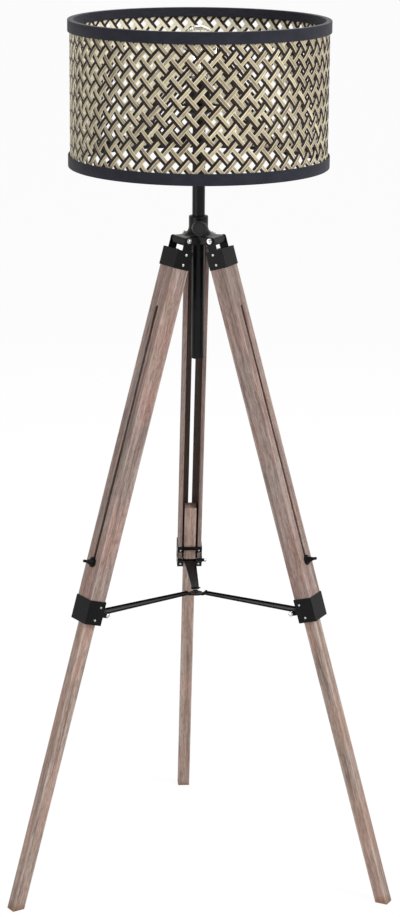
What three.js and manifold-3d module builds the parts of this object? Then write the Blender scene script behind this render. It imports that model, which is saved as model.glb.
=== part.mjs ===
// Floor lamp: an open woven drum shade on a telescopic post and a folding wooden tripod.
// Millimetres, +Z up, floor at z = 0. Each leg is drawn along +X and turned to its place.

import * as THREE from 'three';
import { mergeVertices } from 'three/addons/utils/BufferGeometryUtils.js';
import Module from 'manifold-3d';

const wasm = await Module();
wasm.setup();

// Fits and cuts
const fitGap = 0.3;
const cutOverrun = 4;
const mergeTolerance = 0.0002;

// Roundness, as flat sides or steps
const drumSides = 32;
const hubSides = 36;
const barrelSides = 24;
const screwSides = 16;
const boltSides = 12;
const wireSides = 6;
const arcSteps = 3;
const roundSteps = 8;
const spokeSteps = 12;

// Tripod layout
const legAzimuthDegrees = { rear: 90, left: 210, right: 330 };
const legTiltDegrees = 16.5;
const pivotRadius = 34.6;
const pivotHeight = 1170;

// Upper leg: outer board with a slot, two side rails, open towards the post
const legWidth = 43;
const legDepth = 31;
const boardThickness = 7;
const railThickness = 7;
const pivotInset = 16.2;
const woodTopDrop = 19;
const woodLength = 669;
const glueGap = fitGap;
const slotWidth = 7;
const slotTopGap = 101;

// Lower stick, square, sliding inside the channel of the upper leg
const stickSide = 22;
const stickBoardGap = 0.4;
const stickTopRise = 20.5;

// Thumb screw through the slot into the stick
const screwRise = 105.5;
const screwRadius = 3;
const screwBite = 10;
const screwSlotRoom = 4;
const screwFlangeRadius = 9;
const screwFlangeThickness = 3.4;
const screwConeRadius = 6.4;
const screwConeLength = 11;
const screwStudRadius = 2.6;
const screwReach = 20;
const screwGrips = 8;
const screwGripRadius = 1.2;

// Sheet steel cap on each leg's top, with ears up to the hub pivot
const capSheet = 1.2;
const capTopDrop = 17.8;
const capHeight = 32.4;
const earHalf = 8;
const earRise = 4.6;
const earRound = 4;

// Hub pivot bolt
const pivotBoltRadius = 2.5;
const pivotHeadRadius = 4.4;
const pivotHeadHeight = 3;
const pivotNutRadius = 5.2;
const pivotNutHeight = 4.6;
const pivotStudLength = 4.5;

// Cast hub: clamp sleeve, flare and three lugs
const sleeveRadius = 16.75;
const sleeveRise = 38.7;
const sleeveChamfer = 1;
const flareRadius = 15.4;
const lugRise = 5;
const lugDrop = 8.7;
const lugReach = 6.9;
const lugTopRound = 5;
const lugBottomRound = 3;
const bellyRadius = 24;
const bellyRise = 5.1;
const bellyDraft = 1.5;
const bossRadius = 7.5;
const bossReach = 23;

// Clamp knob
const knobRise = 21.5;
const knobRadius = 13.6;
const knobLength = 14;
const knobRound = 2.5;
const knobWaistRadius = 8;
const knobWaistLength = 3;
const knobDish = 1.2;
const knobDishRadius = 10;
const knobRodRadius = 3;

// Collar on each upper leg's lower end, with ears for the stay's pivot bolt
const collarSheet = 1.2;
const collarHeight = 43;
const collarOverhang = 1;
const flangeHeight = 11.5;
const flangeInnerHalf = 11.6;
const strapHeight = 7;
const collarEarHalf = 4.7;
const stayPivotInset = 25;
const stayPivotRise = 19;

// Stay pivot bolt with a shoulder on each side of the stay
const stayBoltRadius = 2.3;
const stayShoulderRadius = 3.3;
const stayHeadRadius = 4.2;
const stayHeadHeight = 2.6;
const stayNutRadius = 4.4;
const stayNutHeight = 8;

// Stay: shallow pressed channel, open above, with eyes for its pivot bolt, tapering towards the centre
const staySheet = 1.2;
const stayOuterHalf = 11.2;
const stayInnerHalf = 6.5;
const stayEyeRadius = 4.2;
const stayEyeTaper = 11;
const stayRimHalf = 1.8;
const spreaderPinRadius = 17;
const spreaderPinRise = 4;

// Spreader plate under the inner ends of the stays
const plateThickness = 2.5;
const plateDiscRadius = 12;
const plateHoleRadius = 4;
const plateArmReach = 17;
const plateArmHalf = 4.5;
const plateTipRound = 3;

// Post and its lower bushing
const postRadius = 11;
const postWall = 1.2;
const postDrop = 212;
const postSlideGap = fitGap;
const bushingFlange = 2;
const bushingSleeve = 12;
const bushingWall = 2.4;

// Drum shade
const drumRadius = 225;
const drumRise = 125;
const drumHeight = 250;
const bandHeight = 20;
const bandSheet = 1.4;
const topBandInside = 16;
const bottomBandInside = 6;
const frameWireRadius = 1.8;
const weaveSheet = 2;
const weaveColumns = 32;
const weaveRows = 5;
const weavePanels = 8;
const strandShare = 0.55;

// Spider that carries the shade on the lampholder
const spokeRadius = 2;
const spokeInnerRun = 14;
const spokeOuterRun = 16;
const washerRadius = 27;
const washerSheet = 2;

// Lampholder
const holderCapRadius = 21;
const holderRise = 105;
const holderCapHeight = 26;
const holderNeckRadius = 13.5;
const holderNeckHeight = 8;
const holderConeHeight = 7;
const shellRadius = 18;
const shellWall = 3.6;
const shellHeight = 40;
const shellFloor = 8;
const shellLip = 1.2;
const ringNutRadius = 24;
const ringNutHeight = 9;
const ringNutGrips = 12;
const ringNutGripRadius = 1.5;
const contactRadius = 4;
const contactHeight = 2.4;

// Bulb
const bulbTopDrop = 10;
const bulbRadius = 30;
const bulbNeckRadius = 13.4;
const capShellRadius = 13;
const capTipRadius = 5;
const capTipHeight = 3;
const capThreadPitch = 3.6;
const capThreadDepth = 0.7;
const capThreads = 4;

// Shares of the bulb's curve between neck and widest point
const bulbNeckPullShare = 0.42;
const bulbBellyPullShare = 0.5;

// Heights and distances that follow from the values above
const legTilt = THREE.MathUtils.degToRad(legTiltDegrees);
const legCos = Math.cos(legTilt);
const legSin = Math.sin(legTilt);
const woodOuter = pivotInset;
const woodInner = pivotInset - legDepth;
const boardInner = woodOuter - boardThickness;
const woodTop = -woodTopDrop;
const woodBottom = woodTop - woodLength;
const screwLevel = woodBottom + screwRise;
const slotTop = woodTop - slotTopGap;
const slotBottom = screwLevel - screwSlotRoom;
const stickTop = screwLevel + stickTopRise;
const stayPivotLevel = woodBottom + stayPivotRise;
const channelHalf = legWidth / 2 - railThickness;
const stickOuter = boardInner - stickBoardGap;
const stickInner = stickOuter - stickSide;
const fittingInnerHalf = legWidth / 2 + fitGap;
const capOuterHalf = fittingInnerHalf + capSheet;
const collarOuterHalf = fittingInnerHalf + collarSheet;
const collarBottom = woodBottom - collarOverhang;
const collarTop = collarBottom + collarHeight;
const lugHalf = fittingInnerHalf - fitGap;
const hubReach = pivotRadius + lugReach;
const boreRadius = postRadius + postSlideGap;
const stayPivot = legPoint(-stayPivotInset, stayPivotLevel);
const staySpan = stayPivot.radius - spreaderPinRadius;
const stayAngle = Math.atan2(spreaderPinRise, staySpan);
const stayLength = Math.hypot(staySpan, spreaderPinRise);
const plateTop = stayPivot.height + spreaderPinRise - stayRimHalf - fitGap;
const postBottom = pivotHeight - postDrop;
const drumBottom = pivotHeight + drumRise;
const drumTop = drumBottom + drumHeight;
const holderCapTop = drumBottom + holderRise;
const bandInner = drumRadius - bandSheet;
const weaveOuter = flatInset(bandInner, drumSides) - fitGap;
const weaveInner = weaveOuter - weaveSheet;
const weaveBottom = drumBottom + bandSheet + fitGap;
const weaveTop = drumTop - bandSheet - fitGap;
const frameWireCentre = flatInset(weaveInner, drumSides) - fitGap - frameWireRadius;
const bandLipOuter = frameWireCentre - frameWireRadius - fitGap;
const bottomWireHeight = drumBottom + bandSheet + fitGap + frameWireRadius;
const topWireHeight = drumTop - bandSheet - fitGap - frameWireRadius;
const spokeEndHeight = bottomWireHeight + frameWireRadius + fitGap + spokeRadius;
const spokeEndRadius = flatInset(weaveInner, drumSides) - fitGap;
const shellBottom = holderCapTop + fitGap;
const washerBottom = holderCapTop + fitGap;
const washerTop = washerBottom + washerSheet;
const postTop = holderCapTop - holderCapHeight + holderNeckHeight + holderConeHeight;
const bulbTop = drumTop - bulbTopDrop;
const bulbCentre = bulbTop - bulbRadius;
const bulbBottom = shellBottom + shellHeight - shellLip;
const bulbCapBottom = shellBottom + shellFloor + fitGap + contactHeight + fitGap;

// The model's origin is the middle of its footprint box, so the post stands off it
const footReach = pivotRadius + pivotHeight * Math.tan(legTilt) + stickOuter / legCos;
const frameShift = (footReach - drumRadius) / 2;

// Finishes
const blackSteel = finish(0x1c1c1e, 0.45, 0.6);
const castIron = finish(0x19191a, 0.6, 0.5);
const weatheredWood = finish(0x968478, 0.75, 0);
const brightSteel = finish(0xc9c9c6, 0.3, 0.9);
const wovenStrips = finish(0xb9a878, 0.7, 0);
const darkFabric = finish(0x3a3942, 0.95, 0);
const holderPlastic = finish(0x202022, 0.5, 0);
const opalGlass = finish(0xf1ead8, 0.15, 0);

function finish(color, roughness, metalness) {
  return new THREE.MeshStandardMaterial({ color, roughness, metalness, flatShading: true });
}

// Radius and height, on the lamp, of a point given across and along a leg
function legPoint(across, along) {
  return {
    radius: pivotRadius + across * legCos - along * legSin,
    height: pivotHeight + across * legSin + along * legCos,
  };
}

// Distance from the axis to the flat sides of a ring whose corners lie on the radius
function flatInset(radius, sides) {
  return radius * Math.cos(Math.PI / sides);
}

// Merge shared corners, drop collapsed triangles and turn the faces outwards
function closedBody(geometry) {
  const bare = geometry.clone();
  for (const name of Object.keys(bare.attributes)) {
    if (name !== 'position') bare.deleteAttribute(name);
  }
  const body = mergeVertices(bare, mergeTolerance);
  const position = body.attributes.position;
  const corners = [0, 1, 2].map(() => new THREE.Vector3());
  const kept = [];
  let volume = 0;
  for (let i = 0; i < body.index.count; i += 3) {
    const face = [0, 1, 2].map((k) => body.index.getX(i + k));
    if (new Set(face).size < 3) continue;
    face.forEach((vertex, k) => corners[k].fromBufferAttribute(position, vertex));
    volume += corners[0].dot(corners[1].cross(corners[2]));
    kept.push(face);
  }
  if (volume < 0) kept.forEach((face) => face.reverse());
  body.setIndex(kept.flat());
  return body;
}

function toSolid(geometry) {
  const body = closedBody(geometry);
  const vertProperties = new Float32Array(body.attributes.position.array);
  const triVerts = new Uint32Array(body.index.array);
  return new wasm.Manifold(new wasm.Mesh({ numProp: 3, vertProperties, triVerts }));
}

function toGeometry(solid) {
  const mesh = solid.getMesh();
  const geometry = new THREE.BufferGeometry();
  geometry.setAttribute('position', new THREE.BufferAttribute(mesh.vertProperties, 3));
  geometry.setIndex(new THREE.BufferAttribute(mesh.triVerts, 1));
  return geometry;
}

function joined(...pieces) {
  return toGeometry(pieces.map(toSolid).reduce((whole, piece) => whole.add(piece)));
}

function cutFrom(whole, ...tools) {
  return toGeometry(tools.map(toSolid).reduce((rest, tool) => rest.subtract(tool), toSolid(whole)));
}

function common(first, second) {
  return toGeometry(toSolid(first).intersect(toSolid(second)));
}

// Points of an arc about a centre, from one angle to another in degrees
function arc(x, y, radius, from, to, steps = arcSteps) {
  return Array.from({ length: steps + 1 }, (unused, step) => {
    const angle = THREE.MathUtils.degToRad(from + (to - from) * step / steps);
    return [x + radius * Math.cos(angle), y + radius * Math.sin(angle)];
  });
}

function toVectors(points) {
  return points.map(([x, y]) => new THREE.Vector2(x, y));
}

// A flat outline in XY with its holes, raised by a depth
function raised(outline, depth, ...holes) {
  const shape = new THREE.Shape(toVectors(outline));
  shape.holes = holes.map((hole) => new THREE.Path(toVectors(hole)));
  return new THREE.ExtrudeGeometry(shape, { depth, bevelEnabled: false });
}

// A side outline, its second coordinate up, as wide as stated and centred on y = 0
function sideRaised(outline, width, ...holes) {
  return raised(outline, width, ...holes).rotateX(Math.PI / 2).translate(0, width / 2, 0);
}

// Outline of a round hole
function roundHole(x, y, radius) {
  return arc(x, y, radius, 0, 360, boltSides).slice(1);
}

function block(low, high) {
  const size = high.map((value, axis) => value - low[axis]);
  const middle = high.map((value, axis) => (value + low[axis]) / 2);
  return new THREE.BoxGeometry(...size).translate(...middle);
}

// Turned about the Z axis from [radius, height] points
function turnedUpright(profile, sides) {
  return turnedAcross(profile, sides).rotateX(Math.PI / 2);
}

// Turned about the Y axis from [radius, y] points
function turnedAcross(profile, sides) {
  return new THREE.LatheGeometry(toVectors(profile), sides);
}

// A solid rod or tool along Y
function rodAcross(radius, low, high, sides) {
  return turnedAcross([[0, low], [radius, low], [radius, high], [0, high]], sides);
}

// A solid rod or tool along Z
function rodUpright(radius, low, high, sides) {
  return turnedUpright([[0, low], [radius, low], [radius, high], [0, high]], sides);
}

// A tube about the Z axis
function tubeUpright(inner, outer, low, high, sides) {
  return turnedUpright([[inner, low], [outer, low], [outer, high], [inner, high], [inner, low]], sides);
}

function part(name, geometry, material) {
  const mesh = new THREE.Mesh(closedBody(geometry), material);
  mesh.name = name;
  return mesh;
}

// Finger grips cut into the rim of an upright disc
function withGrips(disc, rimRadius, height, count, gripRadius) {
  const grips = Array.from({ length: count }, (unused, index) => {
    const grip = rodUpright(gripRadius, -cutOverrun, height + cutOverrun, wireSides);
    return grip.translate(rimRadius, 0, 0).rotateZ(index * Math.PI * 2 / count);
  });
  return cutFrom(disc, ...grips);
}

// Hub casting, drawn from the pivots' height: a turned flare cut to three lugs with rounded ends
function hubCasting() {
  const low = -lugDrop - cutOverrun;
  const high = sleeveRise + cutOverrun;
  const beyond = Math.hypot(hubReach, lugHalf) + cutOverrun;
  const flareCentre = [sleeveRadius + flareRadius, lugRise + flareRadius];
  const turned = turnedUpright([
    [0, bellyRise],
    [bellyRadius, bellyRise],
    [bellyRadius + bellyDraft, -lugDrop],
    [beyond, -lugDrop],
    [beyond, lugRise],
    ...arc(...flareCentre, flareRadius, 270, 180, arcSteps * 2),
    [sleeveRadius, sleeveRise - sleeveChamfer],
    [sleeveRadius - sleeveChamfer, sleeveRise],
    [0, sleeveRise],
  ], hubSides);
  const lugSide = [
    [0, low],
    [hubReach - lugBottomRound, low],
    ...arc(hubReach - lugBottomRound, lugBottomRound - lugDrop, lugBottomRound, -90, 0),
    ...arc(hubReach - lugTopRound, lugRise - lugTopRound, lugTopRound, 0, 90),
    [hubReach - lugTopRound, high],
    [0, high],
  ];
  const lugs = Object.values(legAzimuthDegrees).map((azimuth) => {
    return sideRaised(lugSide, lugHalf * 2).rotateZ(THREE.MathUtils.degToRad(azimuth));
  });
  const boss = rodAcross(bossRadius, -bossReach, 0, barrelSides).translate(0, 0, knobRise);
  const body = joined(common(turned, joined(...lugs)), boss);
  const bore = rodUpright(boreRadius, low, high, barrelSides);
  const rodHole = rodAcross(knobRodRadius + fitGap, -bossReach - cutOverrun, 0, boltSides);
  const pivotHoles = Object.values(legAzimuthDegrees).map((azimuth) => {
    const end = lugHalf + cutOverrun;
    const hole = rodAcross(pivotBoltRadius + fitGap, -end, end, boltSides);
    return hole.translate(pivotRadius, 0, 0).rotateZ(THREE.MathUtils.degToRad(azimuth));
  });
  return cutFrom(body, bore, rodHole.translate(0, 0, knobRise), ...pivotHoles);
}

// Bolt across the hub lug and the cap's ears, its nut and threaded end towards -Y
function pivotBolt() {
  const grip = capOuterHalf + fitGap;
  const nutEnd = -grip - pivotNutHeight;
  return turnedAcross([
    [0, nutEnd - pivotStudLength],
    [pivotBoltRadius, nutEnd - pivotStudLength],
    [pivotBoltRadius, nutEnd],
    [pivotNutRadius, nutEnd],
    [pivotNutRadius, -grip],
    [pivotBoltRadius, -grip],
    [pivotBoltRadius, grip],
    [pivotHeadRadius, grip],
    [pivotHeadRadius, grip + pivotHeadHeight / 2],
    [pivotHeadRadius / 2, grip + pivotHeadHeight],
    [0, grip + pivotHeadHeight],
  ], boltSides);
}

// Clamp knob on its rod, pointing to -Y
function clampKnob() {
  const base = -bossReach - fitGap;
  const neck = base - knobWaistLength;
  const face = base - knobLength;
  return turnedAcross([
    [0, -postRadius - fitGap],
    [knobRodRadius, -postRadius - fitGap],
    [knobRodRadius, base],
    [knobWaistRadius, base],
    [knobWaistRadius, neck],
    [knobRadius - knobRound, neck],
    [knobRadius, neck - knobRound],
    ...arc(knobRadius - knobRound, face + knobRound, knobRound, 0, -90),
    [knobDishRadius, face],
    [knobDishRadius - knobDish, face + knobDish],
    [0, face + knobDish],
  ], barrelSides);
}

// Outer board of an upper leg with its long slot, in the leg's own frame
function legBoard() {
  const half = legWidth / 2;
  const slotEnd = slotWidth / 2;
  const face = [[-half, woodBottom], [half, woodBottom], [half, woodTop], [-half, woodTop]];
  const slot = [
    ...arc(0, slotTop - slotEnd, slotEnd, 0, 180, roundSteps),
    ...arc(0, slotBottom + slotEnd, slotEnd, 180, 360, roundSteps),
  ];
  const board = raised(face, boardThickness, slot).rotateX(Math.PI / 2).rotateZ(Math.PI / 2);
  return board.translate(boardInner, 0, 0);
}

// One side rail of an upper leg; side is 1 or -1
function legRail(side) {
  const edges = [side * channelHalf, side * legWidth / 2].sort((a, b) => a - b);
  return block([woodInner, edges[0], woodBottom], [boardInner - glueGap, edges[1], woodTop]);
}

// Sheet steel U over the leg's top with two ears round the hub pivot
function legCap() {
  const outer = woodOuter + fitGap + capSheet;
  const low = -capTopDrop - capHeight;
  const cheek = [
    [woodInner, low],
    [outer, low],
    [outer, -capTopDrop],
    [earHalf, -capTopDrop],
    ...arc(earHalf - earRound, earRise - earRound, earRound, 0, 90),
    ...arc(earRound - earHalf, earRise - earRound, earRound, 90, 180),
    [-earHalf, -capTopDrop],
    [woodInner, -capTopDrop],
  ];
  const hole = roundHole(0, 0, pivotBoltRadius + fitGap);
  const offset = fittingInnerHalf + capSheet / 2;
  const cheeks = [-offset, offset].map((y) => sideRaised(cheek, capSheet, hole).translate(0, y, 0));
  const front = block([outer - capSheet, -capOuterHalf, low], [outer, capOuterHalf, -capTopDrop]);
  return joined(front, ...cheeks);
}

// Sheet steel collar: outer face, cheeks with ears, four bent flanges and a strap
function legCollar() {
  const outer = woodOuter + fitGap + collarSheet;
  const flangeOuter = woodInner - fitGap;
  const flangeInner = flangeOuter - collarSheet;
  const cheek = [
    [flangeInner, collarBottom],
    [outer, collarBottom],
    [outer, collarTop],
    [flangeInner, collarTop],
    [flangeInner, stayPivotLevel + collarEarHalf],
    ...arc(-stayPivotInset, stayPivotLevel, collarEarHalf, 90, 270, roundSteps),
    [flangeInner, stayPivotLevel - collarEarHalf],
  ];
  const hole = roundHole(-stayPivotInset, stayPivotLevel, stayBoltRadius + fitGap);
  const offset = fittingInnerHalf + collarSheet / 2;
  const cheeks = [-offset, offset].map((y) => sideRaised(cheek, collarSheet, hole).translate(0, y, 0));
  const front = block(
    [outer - collarSheet, -collarOuterHalf, collarBottom],
    [outer, collarOuterHalf, collarTop],
  );
  const flanges = [-1, 1].flatMap((side) => {
    const across = [side * flangeInnerHalf, side * collarOuterHalf].sort((a, b) => a - b);
    return [collarTop - flangeHeight, collarBottom].map((low) => {
      return block([flangeInner, across[0], low], [flangeOuter, across[1], low + flangeHeight]);
    });
  });
  const strap = block(
    [flangeInner, -collarOuterHalf, collarTop - strapHeight],
    [flangeOuter, collarOuterHalf, collarTop],
  );
  return joined(front, strap, ...cheeks, ...flanges);
}

// Bolt across the collar's ears; its shoulders centre the stay, its long nut is towards -Y
function stayBolt() {
  const shoulderInner = stayOuterHalf + fitGap;
  const shoulderOuter = fittingInnerHalf - fitGap;
  const grip = collarOuterHalf + fitGap;
  return turnedAcross([
    [0, -grip - stayNutHeight],
    [stayNutRadius / 2, -grip - stayNutHeight],
    [stayNutRadius, -grip - stayNutHeight / 2],
    [stayNutRadius, -grip],
    [stayBoltRadius, -grip],
    [stayBoltRadius, -shoulderOuter],
    [stayShoulderRadius, -shoulderOuter],
    [stayShoulderRadius, -shoulderInner],
    [stayBoltRadius, -shoulderInner],
    [stayBoltRadius, shoulderInner],
    [stayShoulderRadius, shoulderInner],
    [stayShoulderRadius, shoulderOuter],
    [stayBoltRadius, shoulderOuter],
    [stayBoltRadius, grip],
    [stayHeadRadius, grip],
    [stayHeadRadius, grip + stayHeadHeight],
    [0, grip + stayHeadHeight],
  ], boltSides);
}

// Lower stick with its foot cut level with the floor and a blind hole for the thumb screw
function lowerStick() {
  const footEnd = (across) => -(pivotHeight + across * legSin) / legCos;
  const side = [
    [stickInner, footEnd(stickInner)],
    [stickOuter, footEnd(stickOuter)],
    [stickOuter, stickTop],
    [stickInner, stickTop],
  ];
  const holeDepth = screwBite + fitGap;
  const hole = rodAcross(screwRadius + fitGap, -holeDepth, cutOverrun, boltSides);
  hole.rotateZ(-Math.PI / 2).translate(stickOuter, 0, screwLevel);
  return cutFrom(sideRaised(side, stickSide), hole);
}

// Thumb screw: shank, round flange with finger grips, cone and stud
function thumbScrew() {
  const seat = woodOuter + fitGap;
  const shank = turnedUpright([
    [0, stickOuter - screwBite - seat],
    [screwRadius, stickOuter - screwBite - seat],
    [screwRadius, 0],
    [screwFlangeRadius, 0],
    [screwFlangeRadius, screwFlangeThickness],
    [screwConeRadius, screwFlangeThickness],
    [screwStudRadius, screwFlangeThickness + screwConeLength],
    [screwStudRadius, screwReach],
    [0, screwReach],
  ], screwSides);
  const gripped = withGrips(shank, screwFlangeRadius, screwFlangeThickness, screwGrips, screwGripRadius);
  return gripped.rotateY(Math.PI / 2).translate(seat, 0, screwLevel);
}

// Stay, drawn from its outer pivot along -X: a strip in side view with a round eye, tapered in plan
function stay() {
  const side = [
    ...arc(0, 0, stayEyeRadius, -90, 90, roundSteps),
    [-stayEyeTaper, stayRimHalf],
    ...arc(-stayLength, 0, stayRimHalf, 90, 270, roundSteps),
    [-stayEyeTaper, -stayRimHalf],
  ];
  const taper = (stayOuterHalf - stayInnerHalf) / stayLength;
  const beyond = cutOverrun * 2;
  const plan = (inset) => {
    const outerHalf = stayOuterHalf + taper * beyond - inset;
    const innerHalf = stayInnerHalf - inset;
    const corners = [
      [beyond, -outerHalf],
      [beyond, outerHalf],
      [-stayLength, innerHalf],
      [-stayLength - beyond, innerHalf],
      [-stayLength - beyond, -innerHalf],
      [-stayLength, -innerHalf],
    ];
    return raised(corners, beyond * 4).translate(0, 0, -beyond * 2);
  };
  const outerBody = common(sideRaised(side, stayOuterHalf * 4), plan(0));
  const webLevel = staySheet - stayRimHalf;
  const webLow = staySheet - stayEyeRadius;
  const hollowSide = [
    [-stayLength - beyond, webLevel],
    [-stayEyeTaper, webLevel],
    [0, webLow],
    [beyond, webLow],
    [beyond, beyond],
    [-stayLength - beyond, beyond],
  ];
  const hollow = common(sideRaised(hollowSide, stayOuterHalf * 4), plan(staySheet));
  const hole = rodAcross(stayBoltRadius + fitGap, -stayOuterHalf * 2, stayOuterHalf * 2, boltSides);
  return cutFrom(outerBody, hollow, hole);
}

// Spreader plate: a holed disc with three rounded arms
function spreaderPlate() {
  const disc = rodUpright(plateDiscRadius, 0, plateThickness, barrelSides);
  const arms = Object.values(legAzimuthDegrees).map((azimuth) => {
    const tip = plateArmReach - plateTipRound;
    const arm = [
      [0, -plateArmHalf],
      ...arc(tip, plateTipRound - plateArmHalf, plateTipRound, -90, 0),
      ...arc(tip, plateArmHalf - plateTipRound, plateTipRound, 0, 90),
      [0, plateArmHalf],
    ];
    return raised(arm, plateThickness).rotateZ(THREE.MathUtils.degToRad(azimuth));
  });
  const hole = rodUpright(plateHoleRadius, -cutOverrun, plateThickness + cutOverrun, boltSides);
  return cutFrom(joined(disc, ...arms), hole);
}

// Ring that closes the post's lower end, with a passage through it
function postBushing() {
  const plug = postRadius - postWall - fitGap;
  const bore = plug - bushingWall;
  return turnedUpright([
    [bore, -bushingFlange],
    [postRadius, -bushingFlange],
    [postRadius, -fitGap],
    [plug, -fitGap],
    [plug, bushingSleeve],
    [bore, bushingSleeve],
    [bore, -bushingFlange],
  ], barrelSides);
}

// Lower part of the lampholder, over the post's top end
function holderCap() {
  const low = -holderCapHeight;
  const outside = turnedUpright([
    [0, low],
    [holderNeckRadius, low],
    [holderNeckRadius, low + holderNeckHeight],
    [holderCapRadius, low + holderNeckHeight + holderConeHeight],
    [holderCapRadius, 0],
    [0, 0],
  ], barrelSides);
  const socketTop = postTop - holderCapTop + fitGap;
  const socket = rodUpright(postRadius + fitGap, low - cutOverrun, socketTop, barrelSides);
  return cutFrom(outside, socket);
}

// Cup that takes the bulb's screw cap
function holderShell() {
  return turnedUpright([
    [0, 0],
    [shellRadius, 0],
    [shellRadius, shellHeight],
    [shellRadius - shellWall, shellHeight],
    [shellRadius - shellWall, shellFloor],
    [0, shellFloor],
  ], barrelSides);
}

// Ring nut that clamps the shade's washer, with finger grips round its rim
function ringNut() {
  const ring = tubeUpright(shellRadius + fitGap, ringNutRadius, 0, ringNutHeight, barrelSides);
  return withGrips(ring, ringNutRadius, ringNutHeight, ringNutGrips, ringNutGripRadius);
}

// Glass of the bulb: an arc over the top and one curve down to the neck
function bulbGlass() {
  const height = bulbCentre - bulbBottom;
  const neck = new THREE.CubicBezierCurve(
    new THREE.Vector2(bulbNeckRadius, -height),
    new THREE.Vector2(bulbNeckRadius, -height * (1 - bulbNeckPullShare)),
    new THREE.Vector2(bulbRadius, -height * bulbBellyPullShare),
    new THREE.Vector2(bulbRadius, 0),
  );
  return turnedUpright([
    [0, -height],
    ...neck.getPoints(roundSteps).map((point) => [point.x, point.y]),
    ...arc(0, 0, bulbRadius, 0, 90, roundSteps).slice(1, -1),
    [0, bulbRadius],
  ], barrelSides);
}

// Screw cap of the bulb, with its thread as plain ridges
function bulbScrewCap() {
  const height = bulbBottom - fitGap - bulbCapBottom;
  const threadLow = height - capThreadPitch * capThreads;
  const points = [[0, 0], [capTipRadius, 0], [capTipRadius, capTipHeight]];
  points.push([capShellRadius - capThreadDepth, threadLow]);
  for (let turn = 0; turn < capThreads; turn += 1) {
    const low = threadLow + turn * capThreadPitch;
    points.push([capShellRadius, low + capThreadPitch / 2]);
    points.push([capShellRadius - capThreadDepth, low + capThreadPitch]);
  }
  points.push([0, height]);
  return turnedUpright(points, barrelSides);
}

// Fabric band with a U section, open upwards; the lip is its inner wall
function drumBand(lipHeight) {
  const lipInner = bandLipOuter - bandSheet;
  return turnedUpright([
    [lipInner, 0],
    [drumRadius, 0],
    [drumRadius, bandHeight],
    [bandInner, bandHeight],
    [bandInner, bandSheet],
    [bandLipOuter, bandSheet],
    [bandLipOuter, lipHeight],
    [lipInner, lipHeight],
    [lipInner, 0],
  ], drumSides);
}

// Round wire of the shade's frame
function frameWire() {
  return turnedUpright(arc(frameWireCentre, 0, frameWireRadius, 0, 360, wireSides), drumSides);
}

// Spoke from the washer's rim out and down to the lower frame wire
function spoke() {
  const start = washerRadius + fitGap;
  const high = washerBottom + washerSheet / 2;
  const bend = new THREE.Vector3(start + spokeInnerRun, 0, high);
  const land = new THREE.Vector3(spokeEndRadius - spokeOuterRun, 0, spokeEndHeight);
  const route = new THREE.CatmullRomCurve3([
    new THREE.Vector3(start, 0, high),
    bend,
    bend.clone().lerp(land, 1 / 2),
    land,
    new THREE.Vector3(spokeEndRadius, 0, spokeEndHeight),
  ]);
  const section = new THREE.Shape(toVectors(arc(0, 0, spokeRadius, 0, 360, wireSides).slice(1)));
  return new THREE.ExtrudeGeometry(section, { steps: spokeSteps, extrudePath: route });
}

// One sector of the woven wall. Strands cross at every second half cell; between the
// crossings the wall is open. Positions are counted in half cells, across and up.
function weavePanel(index) {
  const halfAngle = Math.PI / weaveColumns;
  const halfRow = (weaveTop - weaveBottom) / weaveRows / 2;
  const spanAcross = weaveColumns / weavePanels * 2;
  const spanUp = weaveRows * 2;
  const seamAngle = fitGap / 2 / weaveInner;
  const places = [];
  const known = new Map();
  const faces = [];

  const corner = (across, up) => {
    const key = `${across.toFixed(3)} ${up.toFixed(3)}`;
    if (!known.has(key)) {
      known.set(key, places.length);
      places.push([across, up]);
    }
    return known.get(key);
  };

  const crossing = (i, j) => {
    const around = [
      j > 0 && corner(i, j - strandShare),
      i < spanAcross && corner(i + strandShare, j),
      j < spanUp && corner(i, j + strandShare),
      i > 0 && corner(i - strandShare, j),
    ];
    const face = [];
    around.forEach((vertex, side) => {
      const following = around[(side + 1) % around.length];
      if (vertex !== false) face.push(vertex);
      else if (following === false) face.push(corner(i, j));
    });
    return face;
  };

  for (let j = 0; j <= spanUp; j += 1) {
    for (let i = j % 2; i <= spanAcross; i += 2) {
      faces.push(crossing(i, j));
      if (j < spanUp && i < spanAcross) {
        faces.push([
          corner(i + strandShare, j), corner(i + 1, j + 1 - strandShare),
          corner(i + 1 - strandShare, j + 1), corner(i, j + strandShare),
        ]);
      }
      if (j < spanUp && i > 0) {
        faces.push([
          corner(i, j + strandShare), corner(i - 1 + strandShare, j + 1),
          corner(i - 1, j + 1 - strandShare), corner(i - strandShare, j),
        ]);
      }
    }
  }

  const layer = (radius) => places.map(([across, up]) => {
    const seam = (across === 0 ? seamAngle : 0) - (across === spanAcross ? seamAngle : 0);
    const angle = (index * spanAcross + across) * halfAngle + seam;
    return [radius * Math.cos(angle), radius * Math.sin(angle), weaveBottom + up * halfRow];
  });
  return thickened(layer(weaveOuter), layer(weaveInner), faces);
}

// Closed body between two layers of the same faces, walled wherever a face has no neighbour
function thickened(outer, inner, faces) {
  const count = outer.length;
  const triangles = [];
  const edges = new Set(faces.flatMap((face) => {
    return face.map((vertex, side) => `${vertex} ${face[(side + 1) % face.length]}`);
  }));
  const fan = (loop) => {
    for (let k = 2; k < loop.length; k += 1) triangles.push(loop[0], loop[k - 1], loop[k]);
  };
  for (const face of faces) {
    fan(face);
    fan([face[0], ...face.slice(1).reverse()].map((vertex) => vertex + count));
    face.forEach((vertex, side) => {
      const following = face[(side + 1) % face.length];
      if (edges.has(`${following} ${vertex}`)) return;
      fan([following, vertex, vertex + count, following + count]);
    });
  }
  const geometry = new THREE.BufferGeometry();
  geometry.setAttribute('position', new THREE.Float32BufferAttribute([...outer, ...inner].flat(), 3));
  geometry.setIndex(triangles);
  return geometry;
}

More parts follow.
